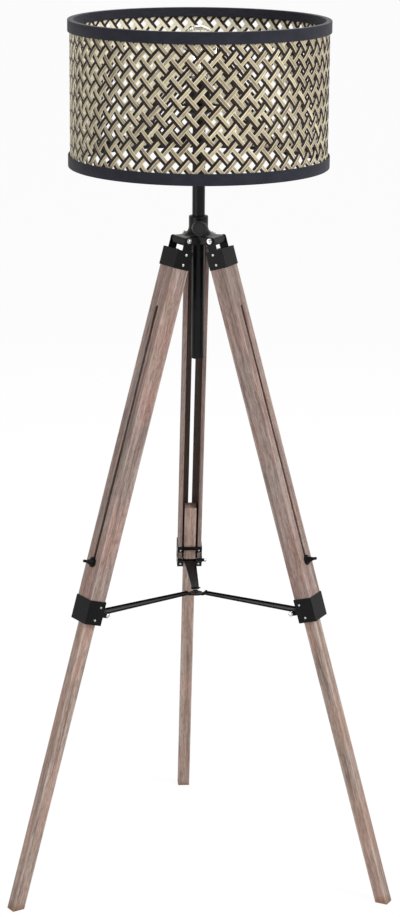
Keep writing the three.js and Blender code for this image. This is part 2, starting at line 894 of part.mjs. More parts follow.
// Everything on one leg: the tilted leg itself and the level pieces in its plane
function legAssembly(name, azimuth) {
  const plane = new THREE.Group();
  plane.rotation.z = THREE.MathUtils.degToRad(azimuth);
  const leg = new THREE.Group();
  leg.position.set(pivotRadius, 0, pivotHeight);
  leg.rotation.y = -legTilt;
  leg.add(part(`leg_board_${name}`, legBoard(), weatheredWood));
  leg.add(part(`leg_rail_a_${name}`, legRail(1), weatheredWood));
  leg.add(part(`leg_rail_b_${name}`, legRail(-1), weatheredWood));
  leg.add(part(`leg_cap_${name}`, legCap(), blackSteel));
  leg.add(part(`leg_collar_${name}`, legCollar(), blackSteel));
  leg.add(part(`lower_stick_${name}`, lowerStick(), weatheredWood));
  leg.add(part(`thumb_screw_${name}`, thumbScrew(), blackSteel));
  const clevisBolt = part(`stay_bolt_${name}`, stayBolt(), brightSteel);
  clevisBolt.position.set(-stayPivotInset, 0, stayPivotLevel);
  leg.add(clevisBolt);
  const hubBolt = part(`hub_bolt_${name}`, pivotBolt(), brightSteel);
  hubBolt.position.set(pivotRadius, 0, pivotHeight);
  const stayMesh = part(`stay_${name}`, stay(), blackSteel);
  stayMesh.position.set(stayPivot.radius, 0, stayPivot.height);
  stayMesh.rotation.y = stayAngle;
  plane.add(leg, hubBolt, stayMesh);
  return plane;
}

function hubAssembly() {
  const group = new THREE.Group();
  group.position.z = pivotHeight;
  group.add(part('hub_casting', hubCasting(), castIron));
  const knob = part('clamp_knob', clampKnob(), blackSteel);
  knob.position.z = knobRise;
  group.add(knob);
  return group;
}

function postAssembly() {
  const group = new THREE.Group();
  const tube = tubeUpright(postRadius - postWall, postRadius, postBottom, postTop, barrelSides);
  const bushing = part('post_bushing', postBushing(), holderPlastic);
  bushing.position.z = postBottom;
  const cap = part('holder_cap', holderCap(), holderPlastic);
  cap.position.z = holderCapTop;
  const shell = part('holder_shell', holderShell(), holderPlastic);
  shell.position.z = shellBottom;
  const nut = part('holder_ring', ringNut(), holderPlastic);
  nut.position.z = washerTop + fitGap;
  const contactLow = shellBottom + shellFloor + fitGap;
  const contact = rodUpright(contactRadius, contactLow, contactLow + contactHeight, boltSides);
  group.add(part('post_tube', tube, blackSteel), bushing, cap, shell, nut);
  group.add(part('holder_contact', contact, brightSteel));
  return group;
}

function bulbAssembly() {
  const group = new THREE.Group();
  const glass = part('bulb_glass', bulbGlass(), opalGlass);
  glass.position.z = bulbCentre;
  const cap = part('bulb_screw_cap', bulbScrewCap(), brightSteel);
  cap.position.z = bulbCapBottom;
  group.add(glass, cap);
  return group;
}

function shadeAssembly() {
  const group = new THREE.Group();
  const bottomBand = part('shade_band_bottom', drumBand(bottomBandInside), darkFabric);
  bottomBand.position.z = drumBottom;
  const topBand = part('shade_band_top', drumBand(topBandInside), darkFabric);
  topBand.position.z = drumTop;
  topBand.rotation.x = Math.PI;
  const bottomWire = part('shade_wire_bottom', frameWire(), blackSteel);
  bottomWire.position.z = bottomWireHeight;
  const topWire = part('shade_wire_top', frameWire(), blackSteel);
  topWire.position.z = topWireHeight;
  const washer = tubeUpright(shellRadius + fitGap, washerRadius, washerBottom, washerTop, barrelSides);
  group.add(bottomBand, topBand, bottomWire, topWire, part('spider_washer', washer, blackSteel));
  for (const [name, azimuth] of Object.entries(legAzimuthDegrees)) {
    const arm = part(`spider_spoke_${name}`, spoke(), blackSteel);
    arm.rotation.z = THREE.MathUtils.degToRad(azimuth);
    group.add(arm);
  }
  for (let index = 0; index < weavePanels; index += 1) {
    group.add(part(`weave_panel_${index + 1}`, weavePanel(index), wovenStrips));
  }
  return group;
}

const lamp = new THREE.Group();
lamp.position.y = -frameShift;
lamp.add(hubAssembly(), postAssembly(), bulbAssembly(), shadeAssembly());
for (const [name, azimuth] of Object.entries(legAzimuthDegrees)) lamp.add(legAssembly(name, azimuth));
const spreader = part('spreader_plate', spreaderPlate(), blackSteel);
spreader.position.z = plateTop - plateThickness;
lamp.add(spreader);

const model = new THREE.Group();
model.add(lamp);

export default model;
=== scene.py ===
import math
import random

import bmesh
import bpy
from mathutils import Matrix, Vector
from mathutils.geometry import tessellate_polygon
from mathutils.noise import noise as smooth_noise


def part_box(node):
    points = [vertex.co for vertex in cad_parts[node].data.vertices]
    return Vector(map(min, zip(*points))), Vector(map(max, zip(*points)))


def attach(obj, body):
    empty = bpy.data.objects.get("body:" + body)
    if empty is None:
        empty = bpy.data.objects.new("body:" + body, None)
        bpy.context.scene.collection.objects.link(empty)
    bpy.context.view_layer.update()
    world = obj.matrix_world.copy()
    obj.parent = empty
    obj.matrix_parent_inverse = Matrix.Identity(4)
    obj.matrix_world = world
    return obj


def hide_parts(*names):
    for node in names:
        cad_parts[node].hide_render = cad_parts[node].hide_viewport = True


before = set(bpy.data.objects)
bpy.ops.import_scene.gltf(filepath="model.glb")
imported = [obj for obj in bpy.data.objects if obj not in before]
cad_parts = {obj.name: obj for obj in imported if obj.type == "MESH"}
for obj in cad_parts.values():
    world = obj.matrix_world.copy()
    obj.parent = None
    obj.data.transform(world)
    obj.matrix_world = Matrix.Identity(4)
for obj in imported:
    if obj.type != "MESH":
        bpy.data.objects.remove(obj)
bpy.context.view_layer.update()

MM = 0.001
LEGS = {"rear": 90.0, "left": 210.0, "right": 330.0}

# The lamp's upright axis, in metres, taken from the frame
bore_low, bore_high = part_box("post_tube")
AXIS_X = (bore_low.x + bore_high.x) / 2
AXIS_Y = (bore_low.y + bore_high.y) / 2

# Sizes shared with the solids, in millimetres and degrees; along a leg, heights count from the hub pivot
FIT_GAP = 0.3
LEG_TILT = 16.5
PIVOT_RADIUS = 34.6
PIVOT_HEIGHT = 1170.0
LEG_WIDTH = 43.0
WOOD_OUTER = 16.2
WOOD_INNER = -14.8
BOARD_THICKNESS = 7.0
RAIL_THICKNESS = 7.0
WOOD_TOP = -19.0
WOOD_BOTTOM = -688.0
SLOT_WIDTH = 7.0
SLOT_TOP = -120.0
SLOT_BOTTOM = -586.5
STICK_WIDTH = 22.0
STICK_OUTER = 8.8
STICK_INNER = -13.2
STICK_TOP = -562.0
SCREW_DROP = 582.5
CHEEK_SIDE = 23.0
COLLAR_INNER = -16.3
STAY_PIVOT = (-25.0, -669.0)
STAY_INNER_HALF = 6.5
STAY_SHEET = 1.2
PIN_SEAT = 23.3
TIP_RADIUS = 17.0
TIP_RISE = 5.0
SLEEVE_RADIUS = 16.75
POST_RADIUS = 11.0
POST_BORE = 9.8
HOLDER_SEAT = 1400.0
DRUM_RADIUS = 225.0
DRUM_BOTTOM = 1295.0
DRUM_TOP = 1545.0
BAND_HEIGHT = 20.0
BAND_SHEET = 1.4


# Places

def at(x, y, z):
    """A move in millimetres."""
    return Matrix.Translation((x * MM, y * MM, z * MM))


def spun(angle, axis):
    """A turn about one axis, in degrees."""
    return Matrix.Rotation(math.radians(angle), 4, axis)


def upright(height=0.0):
    """On the lamp's axis, at a height in millimetres."""
    return Matrix.Translation((AXIS_X, AXIS_Y, height * MM))


def plane_of(leg):
    """The lamp's axis turned so that X points out to the leg."""
    return upright() @ spun(LEGS[leg], "Z")


def place_on(leg):
    """The leg's own frame: X outwards, Y across, Z up along the leg, origin at the hub pivot."""
    return plane_of(leg) @ at(PIVOT_RADIUS, 0, PIVOT_HEIGHT) @ spun(-LEG_TILT, "Y")


# Turns that lay a turned body along +Y, along -Y and along +X
ACROSS = spun(-90, "X")
FORWARD = spun(90, "X")
OUTWARD = spun(90, "Y")


# Mesh making

def new_object(name, mesh, place=None):
    piece = bpy.data.objects.new(name, mesh)
    bpy.context.scene.collection.objects.link(piece)
    if place is not None:
        piece.matrix_world = place
    return piece


def finished_mesh(name, body):
    """The mesh of an edit body, which goes."""
    mesh = bpy.data.meshes.new(name)
    body.to_mesh(mesh)
    body.free()
    return mesh


def moved(mesh, matrix):
    mesh.transform(matrix)
    return mesh


def shaded(mesh, angle=35.0):
    """Smooth shading with sharp edges above an angle in degrees."""
    mesh.polygons.foreach_set("use_smooth", [True] * len(mesh.polygons))
    mesh.set_sharp_from_angle(angle=math.radians(angle))
    return mesh


def arc(x, y, radius, start, end, steps=6):
    """Points on an arc about a centre, angles in degrees."""
    angles = [math.radians(start + (end - start) * k / steps) for k in range(steps + 1)]
    return [(x + radius * math.cos(a), y + radius * math.sin(a)) for a in angles]


def turned(name, profile, sides=48, closed=False, wave=None):
    """A body turned about Z from (radius, height) points in millimetres, with a UV map in metres."""
    body = bmesh.new()
    uv = body.loops.layers.uv.new("surface")
    rings = []
    for radius, height in profile:
        if radius < 1e-6:
            rings.append([body.verts.new((0, 0, height * MM))])
            continue
        ring = []
        for k in range(sides):
            a = math.tau * k / sides
            r = radius * (wave(a, radius) if wave else 1.0)
            ring.append(body.verts.new((r * math.cos(a) * MM, r * math.sin(a) * MM, height * MM)))
        rings.append(ring)
    along = [0.0]
    for (r0, z0), (r1, z1) in zip(profile, profile[1:]):
        along.append(along[-1] + math.hypot(r1 - r0, z1 - z0) * MM)
    pairs = list(zip(range(len(rings)), range(1, len(rings))))
    if closed:
        pairs.append((len(rings) - 1, 0))
    widest = max(r for r, z in profile) * MM * math.tau
    for low, high in pairs:
        a, b = rings[low], rings[high]
        if len(a) == 1 and len(b) == 1:
            continue
        for k in range(sides):
            n = (k + 1) % sides
            if len(a) == 1:
                corners = [(a[0], k, low), (b[n], k + 1, high), (b[k], k, high)]
            elif len(b) == 1:
                corners = [(a[k], k, low), (a[n], k + 1, low), (b[0], k, high)]
            else:
                corners = [(a[k], k, low), (a[n], k + 1, low), (b[n], k + 1, high), (b[k], k, high)]
            face = body.faces.new([c[0] for c in corners])
            for loop, (_, step, row) in zip(face.loops, corners):
                loop[uv].uv = (widest * step / sides, along[row])
    bmesh.ops.recalc_face_normals(body, faces=body.faces)
    return shaded(finished_mesh(name, body))


def prism(name, outline, depth, turn=None):
    """A flat outline in millimetres, raised by a depth."""
    body = bmesh.new()
    low = [body.verts.new((x * MM, y * MM, 0)) for x, y in outline]
    high = [body.verts.new((x * MM, y * MM, depth * MM)) for x, y in outline]
    for tri in tessellate_polygon([[Vector((x, y, 0)) for x, y in outline]]):
        body.faces.new([high[i] for i in tri])
        body.faces.new([low[i] for i in reversed(tri)])
    for i in range(len(outline)):
        j = (i + 1) % len(outline)
        body.faces.new((low[i], low[j], high[j], high[i]))
    bmesh.ops.recalc_face_normals(body, faces=body.faces)
    bmesh.ops.dissolve_limit(body, angle_limit=0.002, verts=body.verts, edges=body.edges)
    if turn is not None:
        body.transform(turn)
    return finished_mesh(name, body)


def evaluated(piece, name):
    """The piece's mesh with its modifiers applied; the piece itself goes."""
    bpy.context.view_layer.update()
    graph = bpy.context.evaluated_depsgraph_get()
    mesh = bpy.data.meshes.new_from_object(piece.evaluated_get(graph))
    mesh.name = name
    bpy.data.objects.remove(piece)
    return mesh


def carved(name, base, *steps):
    """The base mesh after joins and cuts, each step (operation, mesh)."""
    piece = new_object(name, base)
    tools = []
    for operation, mesh in steps:
        tool = new_object(name + "_tool", mesh)
        cut = piece.modifiers.new("carve", "BOOLEAN")
        cut.operation = operation
        cut.solver = "EXACT"
        cut.object = tool
        tools.append(tool)
    mesh = evaluated(piece, name)
    for tool in tools:
        bpy.data.objects.remove(tool)
    return mesh


def joined_mesh(name, meshes):
    body = bmesh.new()
    for mesh in meshes:
        body.from_mesh(mesh)
    return finished_mesh(name, body)


def soften_edges(piece, width):
    """A small bevel, its width in millimetres, on edges sharper than 30 degrees."""
    bevel = piece.modifiers.new("soft_edges", "BEVEL")
    bevel.width = width * MM
    bevel.segments = 2
    bevel.limit_method = "ANGLE"
    bevel.angle_limit = math.radians(30)
    if all(face.use_smooth for face in piece.data.polygons):
        piece.modifiers.new("even_shading", "WEIGHTED_NORMAL").keep_sharp = True


def knurl(count, depth, above, sharpness=3):
    """Grooves round the part of a turned body that lies beyond a radius."""
    def wave(angle, radius):
        if radius <= above:
            return 1
        return 1 - depth * (0.5 - 0.5 * math.cos(count * angle)) ** sharpness
    return wave


# Shader groups, the effects that the finishes are made of

class Net:
    """Short ways to add and join shader nodes."""

    def __init__(self, tree):
        self.tree = tree

    def node(self, kind, label="", **settings):
        """A new node; a setting with the name of an input fills that input."""
        made = self.tree.nodes.new(kind)
        made.label = label
        for key, value in settings.items():
            if key in made.inputs:
                made.inputs[key].default_value = value
            else:
                setattr(made, key, value)
        return made

    def link(self, source, target):
        self.tree.links.new(source, target)

    def fill(self, sockets, items):
        """Gives each socket a plain value or a link."""
        for socket, item in zip(sockets, items):
            if isinstance(item, (int, float, tuple)):
                socket.default_value = item
            else:
                self.link(item, socket)

    def value(self, operation, *items):
        made = self.node("ShaderNodeMath", operation=operation)
        self.fill(made.inputs, items)
        return made.outputs[0]

    def product(self, first, second):
        return self.value("MULTIPLY", first, second)

    def rising(self, source, low, high):
        """0 below the low value, 1 above the high one."""
        made = self.node("ShaderNodeMapRange")
        self.fill(made.inputs, (source, low, high))
        return made.outputs[0]

    def parts(self, vector):
        made = self.node("ShaderNodeSeparateXYZ")
        self.link(vector, made.inputs[0])
        return made.outputs

    def stretched(self, vector, scale):
        made = self.node("ShaderNodeMapping", Scale=scale)
        self.link(vector, made.inputs["Vector"])
        return made.outputs[0]

    def shifted(self, vector, amount):
        """The vector moved along Z, which gives each piece its own part of a pattern."""
        step = self.node("ShaderNodeCombineXYZ")
        self.link(amount, step.inputs[2])
        made = self.node("ShaderNodeVectorMath", operation="ADD")
        self.fill(made.inputs, (vector, step.outputs[0]))
        return made.outputs[0]

    def noise(self, vector, scale, detail, roughness):
        made = self.node("ShaderNodeTexNoise")
        sockets = [made.inputs[key] for key in ("Vector", "Scale", "Detail", "Roughness")]
        self.fill(sockets, (vector, scale, detail, roughness))
        return made.outputs[0]

    def mask(self, vector, stretch, detail, roughness, low, high):
        """Soft patches of stretched noise: 0 below the low value, 1 above the high one."""
        return self.rising(self.noise(self.stretched(vector, stretch), 1.0, detail, roughness), low, high)

    def layered(self, ground, *layers):
        """The ground colour under layers, each (mask, share, colour)."""
        for mask, share, tone in layers:
            made = self.node("ShaderNodeMix", data_type="RGBA")
            factor, below, above = (made.inputs[k] for k in (0, 6, 7))
            self.fill((factor, below, above), (self.product(mask, share), ground, tone))
            ground = made.outputs[2]
        return ground


def cleared(owner):
    """The net of a material or world, emptied."""
    owner.use_nodes = True
    owner.node_tree.nodes.clear()
    return Net(owner.node_tree)


def screen_colour(red, green, blue):
    """A colour as seen on the screen, 0 to 255, as the linear values that shaders take."""
    parts = [c / 255 for c in (red, green, blue)]
    return tuple(c / 12.92 if c <= 0.04045 else ((c + 0.055) / 1.055) ** 2.4 for c in parts) + (1.0,)


BLACK = (0.0, 0.0, 0.0, 1.0)
WHITE = (1.0, 1.0, 1.0, 1.0)


def shader_group(name, inputs, outputs):
    """A group with named sockets, and its net, entry and exit.

    An input that starts with a number is a value, with a tuple a colour, and with None a vector.
    """
    group = bpy.data.node_groups.new(name, "ShaderNodeTree")
    for label, start in inputs.items():
        kind = "Vector" if start is None else "Color" if isinstance(start, tuple) else "Float"
        socket = group.interface.new_socket(name=label, in_out="INPUT", socket_type=f"NodeSocket{kind}")
        if start is not None:
            socket.default_value = start
    for label in outputs:
        kind = "Color" if label == "Color" else "Float"
        group.interface.new_socket(name=label, in_out="OUTPUT", socket_type=f"NodeSocket{kind}")
    net = Net(group)
    return group, net, net.node("NodeGroupInput").outputs, net.node("NodeGroupOutput").inputs


# Depths of wear and stain on the timber, in metres
WEAR_REACH = 4.0 * MM
SLOT_LIP = 0.8 * MM
FOOT_STAIN = 14 * MM
FOOT_RAGGED = 5 * MM
OUT_OF_REACH = 100.0
GRAIN_WANDER = (0.016, 0.016, 0.0)


def worn_corners(net, given, outwards, across):
    """Mask of the broken wear along the four long corners of a beam."""
    reached = [
        net.rising(place, net.value("SUBTRACT", face, WEAR_REACH), face)
        for place, face in (
            (across, given["Half Width"]),
            (outwards, given["Outer Face"]),
            (net.product(outwards, -1), given["Inner Face"]),
        )
    ]
    corner = net.product(reached[0], net.value("MAXIMUM", reached[1], reached[2]))
    return net.product(corner, net.mask(given["Place"], (120, 120, 22), 3.0, 0.6, 0.34, 0.60))


def make_wood_grain():
    """Weathered grain along the local Z axis, with worn corners, painted shade in the hollow and slot, a
    soaked foot and a darkening by the tint.
    """
    tones = ("Pale", "Dark", "Warm", "Olive", "Worn", "Hollow Shade", "Foot")
    faces = ("Half Width", "Outer Face", "Inner Face", "Hollow Shade Half", "Hollow Shade Face", "Slot Half")
    group, net, given, out = shader_group(
        "weathered_grain",
        {"Place": None, "Tint": 0.0, **dict.fromkeys(tones, BLACK), **dict.fromkeys(faces, 0.0),
         "Foot Depth": OUT_OF_REACH},
        ("Color", "Height", "Roughness"),
    )
    outwards, sideways, height = net.parts(given["Place"])
    across = net.value("ABSOLUTE", sideways)
    spot = net.shifted(given["Place"], net.product(given["Tint"], 5.0))
    wander = net.node("ShaderNodeTexNoise", "wander of the grain", Scale=9.0, Detail=2.0)
    net.link(net.stretched(spot, (1, 1, 0.35)), wander.inputs["Vector"])
    bent = net.node("ShaderNodeVectorMath", operation="MULTIPLY_ADD")
    net.fill(bent.inputs, (wander.outputs["Color"], GRAIN_WANDER, spot))
    grain = bent.outputs[0]
    streaks = net.mask(grain, (100, 100, 3.4), 4.0, 0.55, 0.36, 0.62)
    fine = net.mask(grain, (460, 460, 16), 3.0, 0.7, 0.38, 0.62)
    flecks = net.mask(grain, (430, 430, 70), 3.0, 0.65, 0.46, 0.64)
    pores = net.mask(grain, (1400, 1400, 60), 1.0, 0.5, 0.56, 0.70)
    warm_patches = net.mask(spot, (30, 30, 8), 3.0, 0.55, 0.42, 0.62)
    olive_patches = net.mask(spot, (24, 38, 10), 3.0, 0.55, 0.50, 0.66)
    # Painted shade: the channel's hollow is darkened where shade falls, and the slot's walls more weakly
    hollow_shade_mask = net.product(
        net.value("LESS_THAN", across, given["Hollow Shade Half"]),
        net.value("LESS_THAN", outwards, given["Hollow Shade Face"]),
    )
    slot_shade_mask = net.product(
        net.value("LESS_THAN", across, given["Slot Half"]),
        net.value("LESS_THAN", outwards, net.value("SUBTRACT", given["Outer Face"], SLOT_LIP)),
    )
    inside = net.value("MAXIMUM", hollow_shade_mask, net.product(slot_shade_mask, 0.6))
    depth = net.value("ADD", net.product(height, -1), net.product(fine, FOOT_RAGGED))
    dry_depth = net.value("SUBTRACT", given["Foot Depth"], FOOT_STAIN)
    painted = net.layered(
        given["Dark"],
        (streaks, 0.62, given["Pale"]),
        (warm_patches, 0.55, given["Warm"]),
        (olive_patches, 0.5, given["Olive"]),
        (fine, 0.4, given["Pale"]),
        (flecks, 0.5, given["Dark"]),
        (pores, 0.4, given["Dark"]),
        (worn_corners(net, given, outwards, across), 0.5, given["Worn"]),
        # The tint darkens a whole timber: its own tone, and on the rear leg painted shade
        (given["Tint"], 0.5, given["Dark"]),
        # painted shade in the hollow and slot
        (inside, 0.8, given["Hollow Shade"]),
        (net.rising(depth, dry_depth, given["Foot Depth"]), 0.6, given["Foot"]),
    )
    net.link(painted, out["Color"])
    net.link(net.value("SUBTRACT", net.product(fine, 0.6), pores), out["Height"])
    net.link(net.value("ADD", net.product(fine, 0.12), 0.6), out["Roughness"])
    return group


def make_fine_dirt():
    """Slow unevenness and small specks for metal, glass and plastic."""
    group, net, given, out = shader_group(
        "fine_dirt",
        {"Place": None, "Clean": BLACK, "Worn": BLACK, "Grain Size": 900.0, "Wear": 0.4,
         "Base Roughness": 0.4},
        ("Color", "Roughness", "Height"),
    )
    cloud = net.mask(given["Place"], (38, 38, 38), 4.0, 0.6, 0.45, 0.75)
    net.link(net.layered(given["Clean"], (cloud, given["Wear"], given["Worn"])), out["Color"])
    net.link(net.value("ADD", given["Base Roughness"], net.product(cloud, 0.16)), out["Roughness"])
    net.link(net.noise(given["Place"], given["Grain Size"], 2.0, 0.5), out["Height"])
    return group


def make_thread_weave():
    """Fine plain cloth over a UV map in metres: raised threads take the Light colour as a painted highlight
    over the Shade colour, and soft mottles lighten it too.
    """
    group, net, given, out = shader_group(
        "thread_weave",
        {"Place": None, "Thread": 1600.0, "Light": WHITE, "Shade": BLACK},
        ("Color", "Height"),
    )
    along, over, _ = net.parts(given["Place"])
    warp, weft = (net.value("SINE", net.product(way, given["Thread"])) for way in (along, over))
    raised = net.value("ADD", net.product(net.product(warp, weft), 0.5), 0.5)
    fibres = net.mask(given["Place"], (300, 2600, 1), 3.0, 0.6, 0.35, 0.7)
    mottles = net.mask(given["Place"], (40, 60, 1), 3.0, 0.6, 0.4, 0.7)
    # Painted highlight: the raised threads take the lit colour; the mottles lighten the cloth unevenly
    cloth = net.layered(given["Shade"], (fibres, raised, given["Light"]), (mottles, 0.35, given["Light"]))
    net.link(cloth, out["Color"])
    net.link(raised, out["Height"])
    return group


def make_split_strip():
    """Lengthwise fibres of a split strip with paler edges; U runs across it, V along it, in metres."""
    group, net, given, out = shader_group(
        "split_strip",
        {"Place": None, "Tint": 0.5, "Rim": 0.0, "Pale": WHITE, "Deep": BLACK, "Stain": BLACK, "Edge": WHITE},
        ("Color", "Height"),
    )
    spot = net.shifted(given["Place"], net.product(given["Tint"], 37.0))
    fibres = net.mask(spot, (1500, 24, 1), 3.0, 0.6, 0.36, 0.64)
    bands = net.mask(spot, (420, 9, 1), 2.0, 0.5, 0.36, 0.62)
    stains = net.mask(spot, (60, 30, 1), 3.0, 0.6, 0.52, 0.70)
    strip = net.layered(
        given["Pale"],
        (fibres, 0.5, given["Deep"]),
        (bands, 0.6, given["Deep"]),
        (given["Tint"], 0.6, given["Stain"]),
        (stains, 0.6, given["Stain"]),
        (given["Rim"], 0.75, given["Edge"]),
    )
    net.link(strip, out["Color"])
    net.link(net.value("ADD", fibres, bands), out["Height"])
    return group


GRAIN = make_wood_grain()
DIRT = make_fine_dirt()
CLOTH = make_thread_weave()
STRIP = make_split_strip()


# Finishes

def finish(name, group, values, strength, relief, **shader_values):
    """A material whose colour, roughness and bump come from one shared effect.

    The values are the effect's, with colours as seen on the screen. The bump's relief is in metres. What
    follows is the shader's own, by the names of its inputs with _ for a space.
    """
    material = bpy.data.materials.new(name)
    net = cleared(material)
    shader = net.node("ShaderNodeBsdfPrincipled")
    for key, value in shader_values.items():
        shader.inputs[key.replace("_", " ")].default_value = value
    effect = net.node("ShaderNodeGroup", node_tree=group)
    for key, value in values.items():
        effect.inputs[key].default_value = screen_colour(*value) if isinstance(value, tuple) else value
    if group in (CLOTH, STRIP):
        source = net.node("ShaderNodeUVMap", uv_map="surface").outputs[0]
    else:
        source = net.node("ShaderNodeTexCoord").outputs["Object"]
    net.link(source, effect.inputs["Place"])
    for socket in ("Tint", "Rim"):
        if socket in effect.inputs:
            stored = net.node("ShaderNodeAttribute", attribute_name=socket.lower())
            net.link(stored.outputs["Fac"], effect.inputs[socket])
    net.link(effect.outputs["Color"], shader.inputs["Base Color"])
    if "Roughness" in effect.outputs:
        net.link(effect.outputs["Roughness"], shader.inputs["Roughness"])
    bump = net.node("ShaderNodeBump", Strength=strength, Distance=relief)
    net.link(effect.outputs["Height"], bump.inputs["Height"])
    net.link(bump.outputs[0], shader.inputs["Normal"])
    net.link(shader.outputs[0], net.node("ShaderNodeOutputMaterial").inputs[0])
    return material


# How far the painted shade of hollow and slot reaches into the wood's faces there
SKIN = 0.2

# The hollow's colour below is a painted shade colour for the inside of the channel
leg_wood = finish(
    "leg_wood", GRAIN,
    {"Pale": (204, 185, 177), "Dark": (96, 78, 71), "Warm": (172, 122, 107), "Olive": (132, 116, 97),
     "Worn": (208, 191, 181), "Hollow Shade": (70, 56, 50),
     "Half Width": LEG_WIDTH / 2 * MM, "Outer Face": WOOD_OUTER * MM, "Inner Face": -WOOD_INNER * MM,
     "Hollow Shade Half": (LEG_WIDTH / 2 - RAIL_THICKNESS + SKIN) * MM,
     "Hollow Shade Face": (WOOD_OUTER - BOARD_THICKNESS + SKIN) * MM, "Slot Half": (SLOT_WIDTH / 2 + SKIN) * MM},
    strength=0.45, relief=0.0005, Specular_IOR_Level=0.25,
)
stick_wood = finish(
    "stick_wood", GRAIN,
    {"Pale": (212, 191, 180), "Dark": (106, 86, 77), "Warm": (182, 136, 118), "Olive": (146, 128, 108),
     "Worn": (222, 206, 194), "Foot": (124, 84, 58),
     "Foot Depth": PIVOT_HEIGHT / math.cos(math.radians(LEG_TILT)) * MM, "Half Width": STICK_WIDTH / 2 * MM,
     "Outer Face": STICK_OUTER * MM, "Inner Face": -STICK_INNER * MM},
    strength=0.4, relief=0.0004, Specular_IOR_Level=0.25,
)
black_steel = finish(
    "black_steel", DIRT,
    {"Clean": (11, 11, 12), "Worn": (26, 25, 25), "Wear": 0.6, "Base Roughness": 0.34},
    strength=0.12, relief=0.0002, Specular_IOR_Level=0.12,
)
hub_enamel = finish(
    "hub_enamel", DIRT,
    {"Clean": (13, 13, 14), "Worn": (30, 29, 29), "Wear": 0.6, "Base Roughness": 0.3, "Grain Size": 420.0},
    strength=0.25, relief=0.0003, Specular_IOR_Level=0.18,
)
bright_steel = finish(
    "bright_steel", DIRT,
    {"Clean": (204, 204, 202), "Worn": (142, 140, 136), "Wear": 0.5, "Base Roughness": 0.26},
    strength=0.08, relief=0.0001, Metallic=1.0,
)
knob_gloss = finish(
    "knob_gloss", DIRT,
    {"Clean": (17, 17, 18), "Worn": (30, 30, 30), "Wear": 0.4, "Base Roughness": 0.18},
    strength=0.1, relief=0.0002, Specular_IOR_Level=0.4,
)
black_plastic = finish(
    "black_plastic", DIRT,
    {"Clean": (20, 20, 21), "Worn": (34, 34, 35), "Wear": 0.4, "Base Roughness": 0.45, "Grain Size": 1600.0},
    strength=0.15, relief=0.0002, Specular_IOR_Level=0.25,
)
clear_glass = finish(
    "clear_glass", DIRT,
    {"Clean": (252, 251, 246), "Worn": (240, 236, 222), "Wear": 0.4, "Base Roughness": 0.02},
    strength=0.01, relief=0.0001, Transmission_Weight=1.0, IOR=1.45, Specular_IOR_Level=0.5,
)
lit_thread = finish(
    "lit_thread", DIRT,
    {"Clean": (236, 206, 120), "Worn": (214, 176, 92), "Wear": 0.5, "Base Roughness": 0.5},
    strength=0.05, relief=0.0001, Specular_IOR_Level=0.3,
)
# Light and Shade are lit and shaded tones of the one dark cloth, mixed as painted light
band_cloth = finish(
    "band_cloth", CLOTH,
    {"Light": (54, 54, 65), "Shade": (27, 27, 36)},
    strength=0.5, relief=0.0003, Roughness=0.8, Specular_IOR_Level=0.15,
    Sheen_Weight=0.12, Sheen_Roughness=0.5,
)
plain_strip = finish(
    "plain_strip", STRIP,
    {"Pale": (236, 224, 188), "Deep": (134, 116, 85), "Stain": (98, 76, 55), "Edge": (250, 243, 216)},
    strength=0.4, relief=0.0003, Roughness=0.42, Specular_IOR_Level=0.35,
)
black_strip = finish(
    "black_strip", STRIP,
    {"Pale": (36, 24, 20), "Deep": (19, 13, 12), "Stain": (38, 28, 21), "Edge": (54, 38, 30)},
    strength=0.4, relief=0.0003, Roughness=0.42, Specular_IOR_Level=0.2,
)


def dress(piece, material, slot, body, *nodes):
    """Gives a piece its material and body, and hides the nodes it stands for. The slot is not used."""
    piece.data.materials.clear()
    piece.data.materials.append(material)
    if nodes:
        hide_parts(*nodes)
    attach(piece, body)


def fitted(mesh, place, *clothes):
    """Puts a mesh at its place as a dressed piece of the same name."""
    dress(new_object(mesh.name, mesh, place), *clothes)


def refinish(node, material, edge):
    """A better material, and softer edges, on a solid that stays."""
    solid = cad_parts[node]
    for place in solid.material_slots:
        place.link = "OBJECT"
        place.material = material
    soften_edges(solid, edge)


# Woven wall: two families of paired strips, one plain and one black, in a plain weave

STRANDS = 54
ROW_PITCH = 29.4
WALL_RADIUS = 220.7
WALL_BOTTOM = DRUM_BOTTOM + BAND_SHEET + 0.6
WALL_TOP = DRUM_TOP - BAND_SHEET - 0.6
PLAIN_WIDTH = 5.8
BLACK_WIDTH = 4.8
STRIP_GAP = 0.15
STRIP_THICKNESS = 0.75
CROWN = 0.4
EDGE_LINE = 1.1
LIFT = 0.48
LIFT_SHARPNESS = 3.0
DRIFT = 0.25
WOBBLE = 0.3
SAMPLES_PER_ROW = 12


def strip_section(width):
    """Corners round a strip as (across, out, share of edge colour)."""
    half, thick = width / 2, STRIP_THICKNESS / 2
    right = [(half, thick / 3, 1), (half - CROWN, thick, 1), (half - EDGE_LINE, thick, 0)]
    left = [(-across, out, rim) for across, out, rim in reversed(right)]
    return [(-half, -thick, 1), (half, -thick, 1), *right, *left]


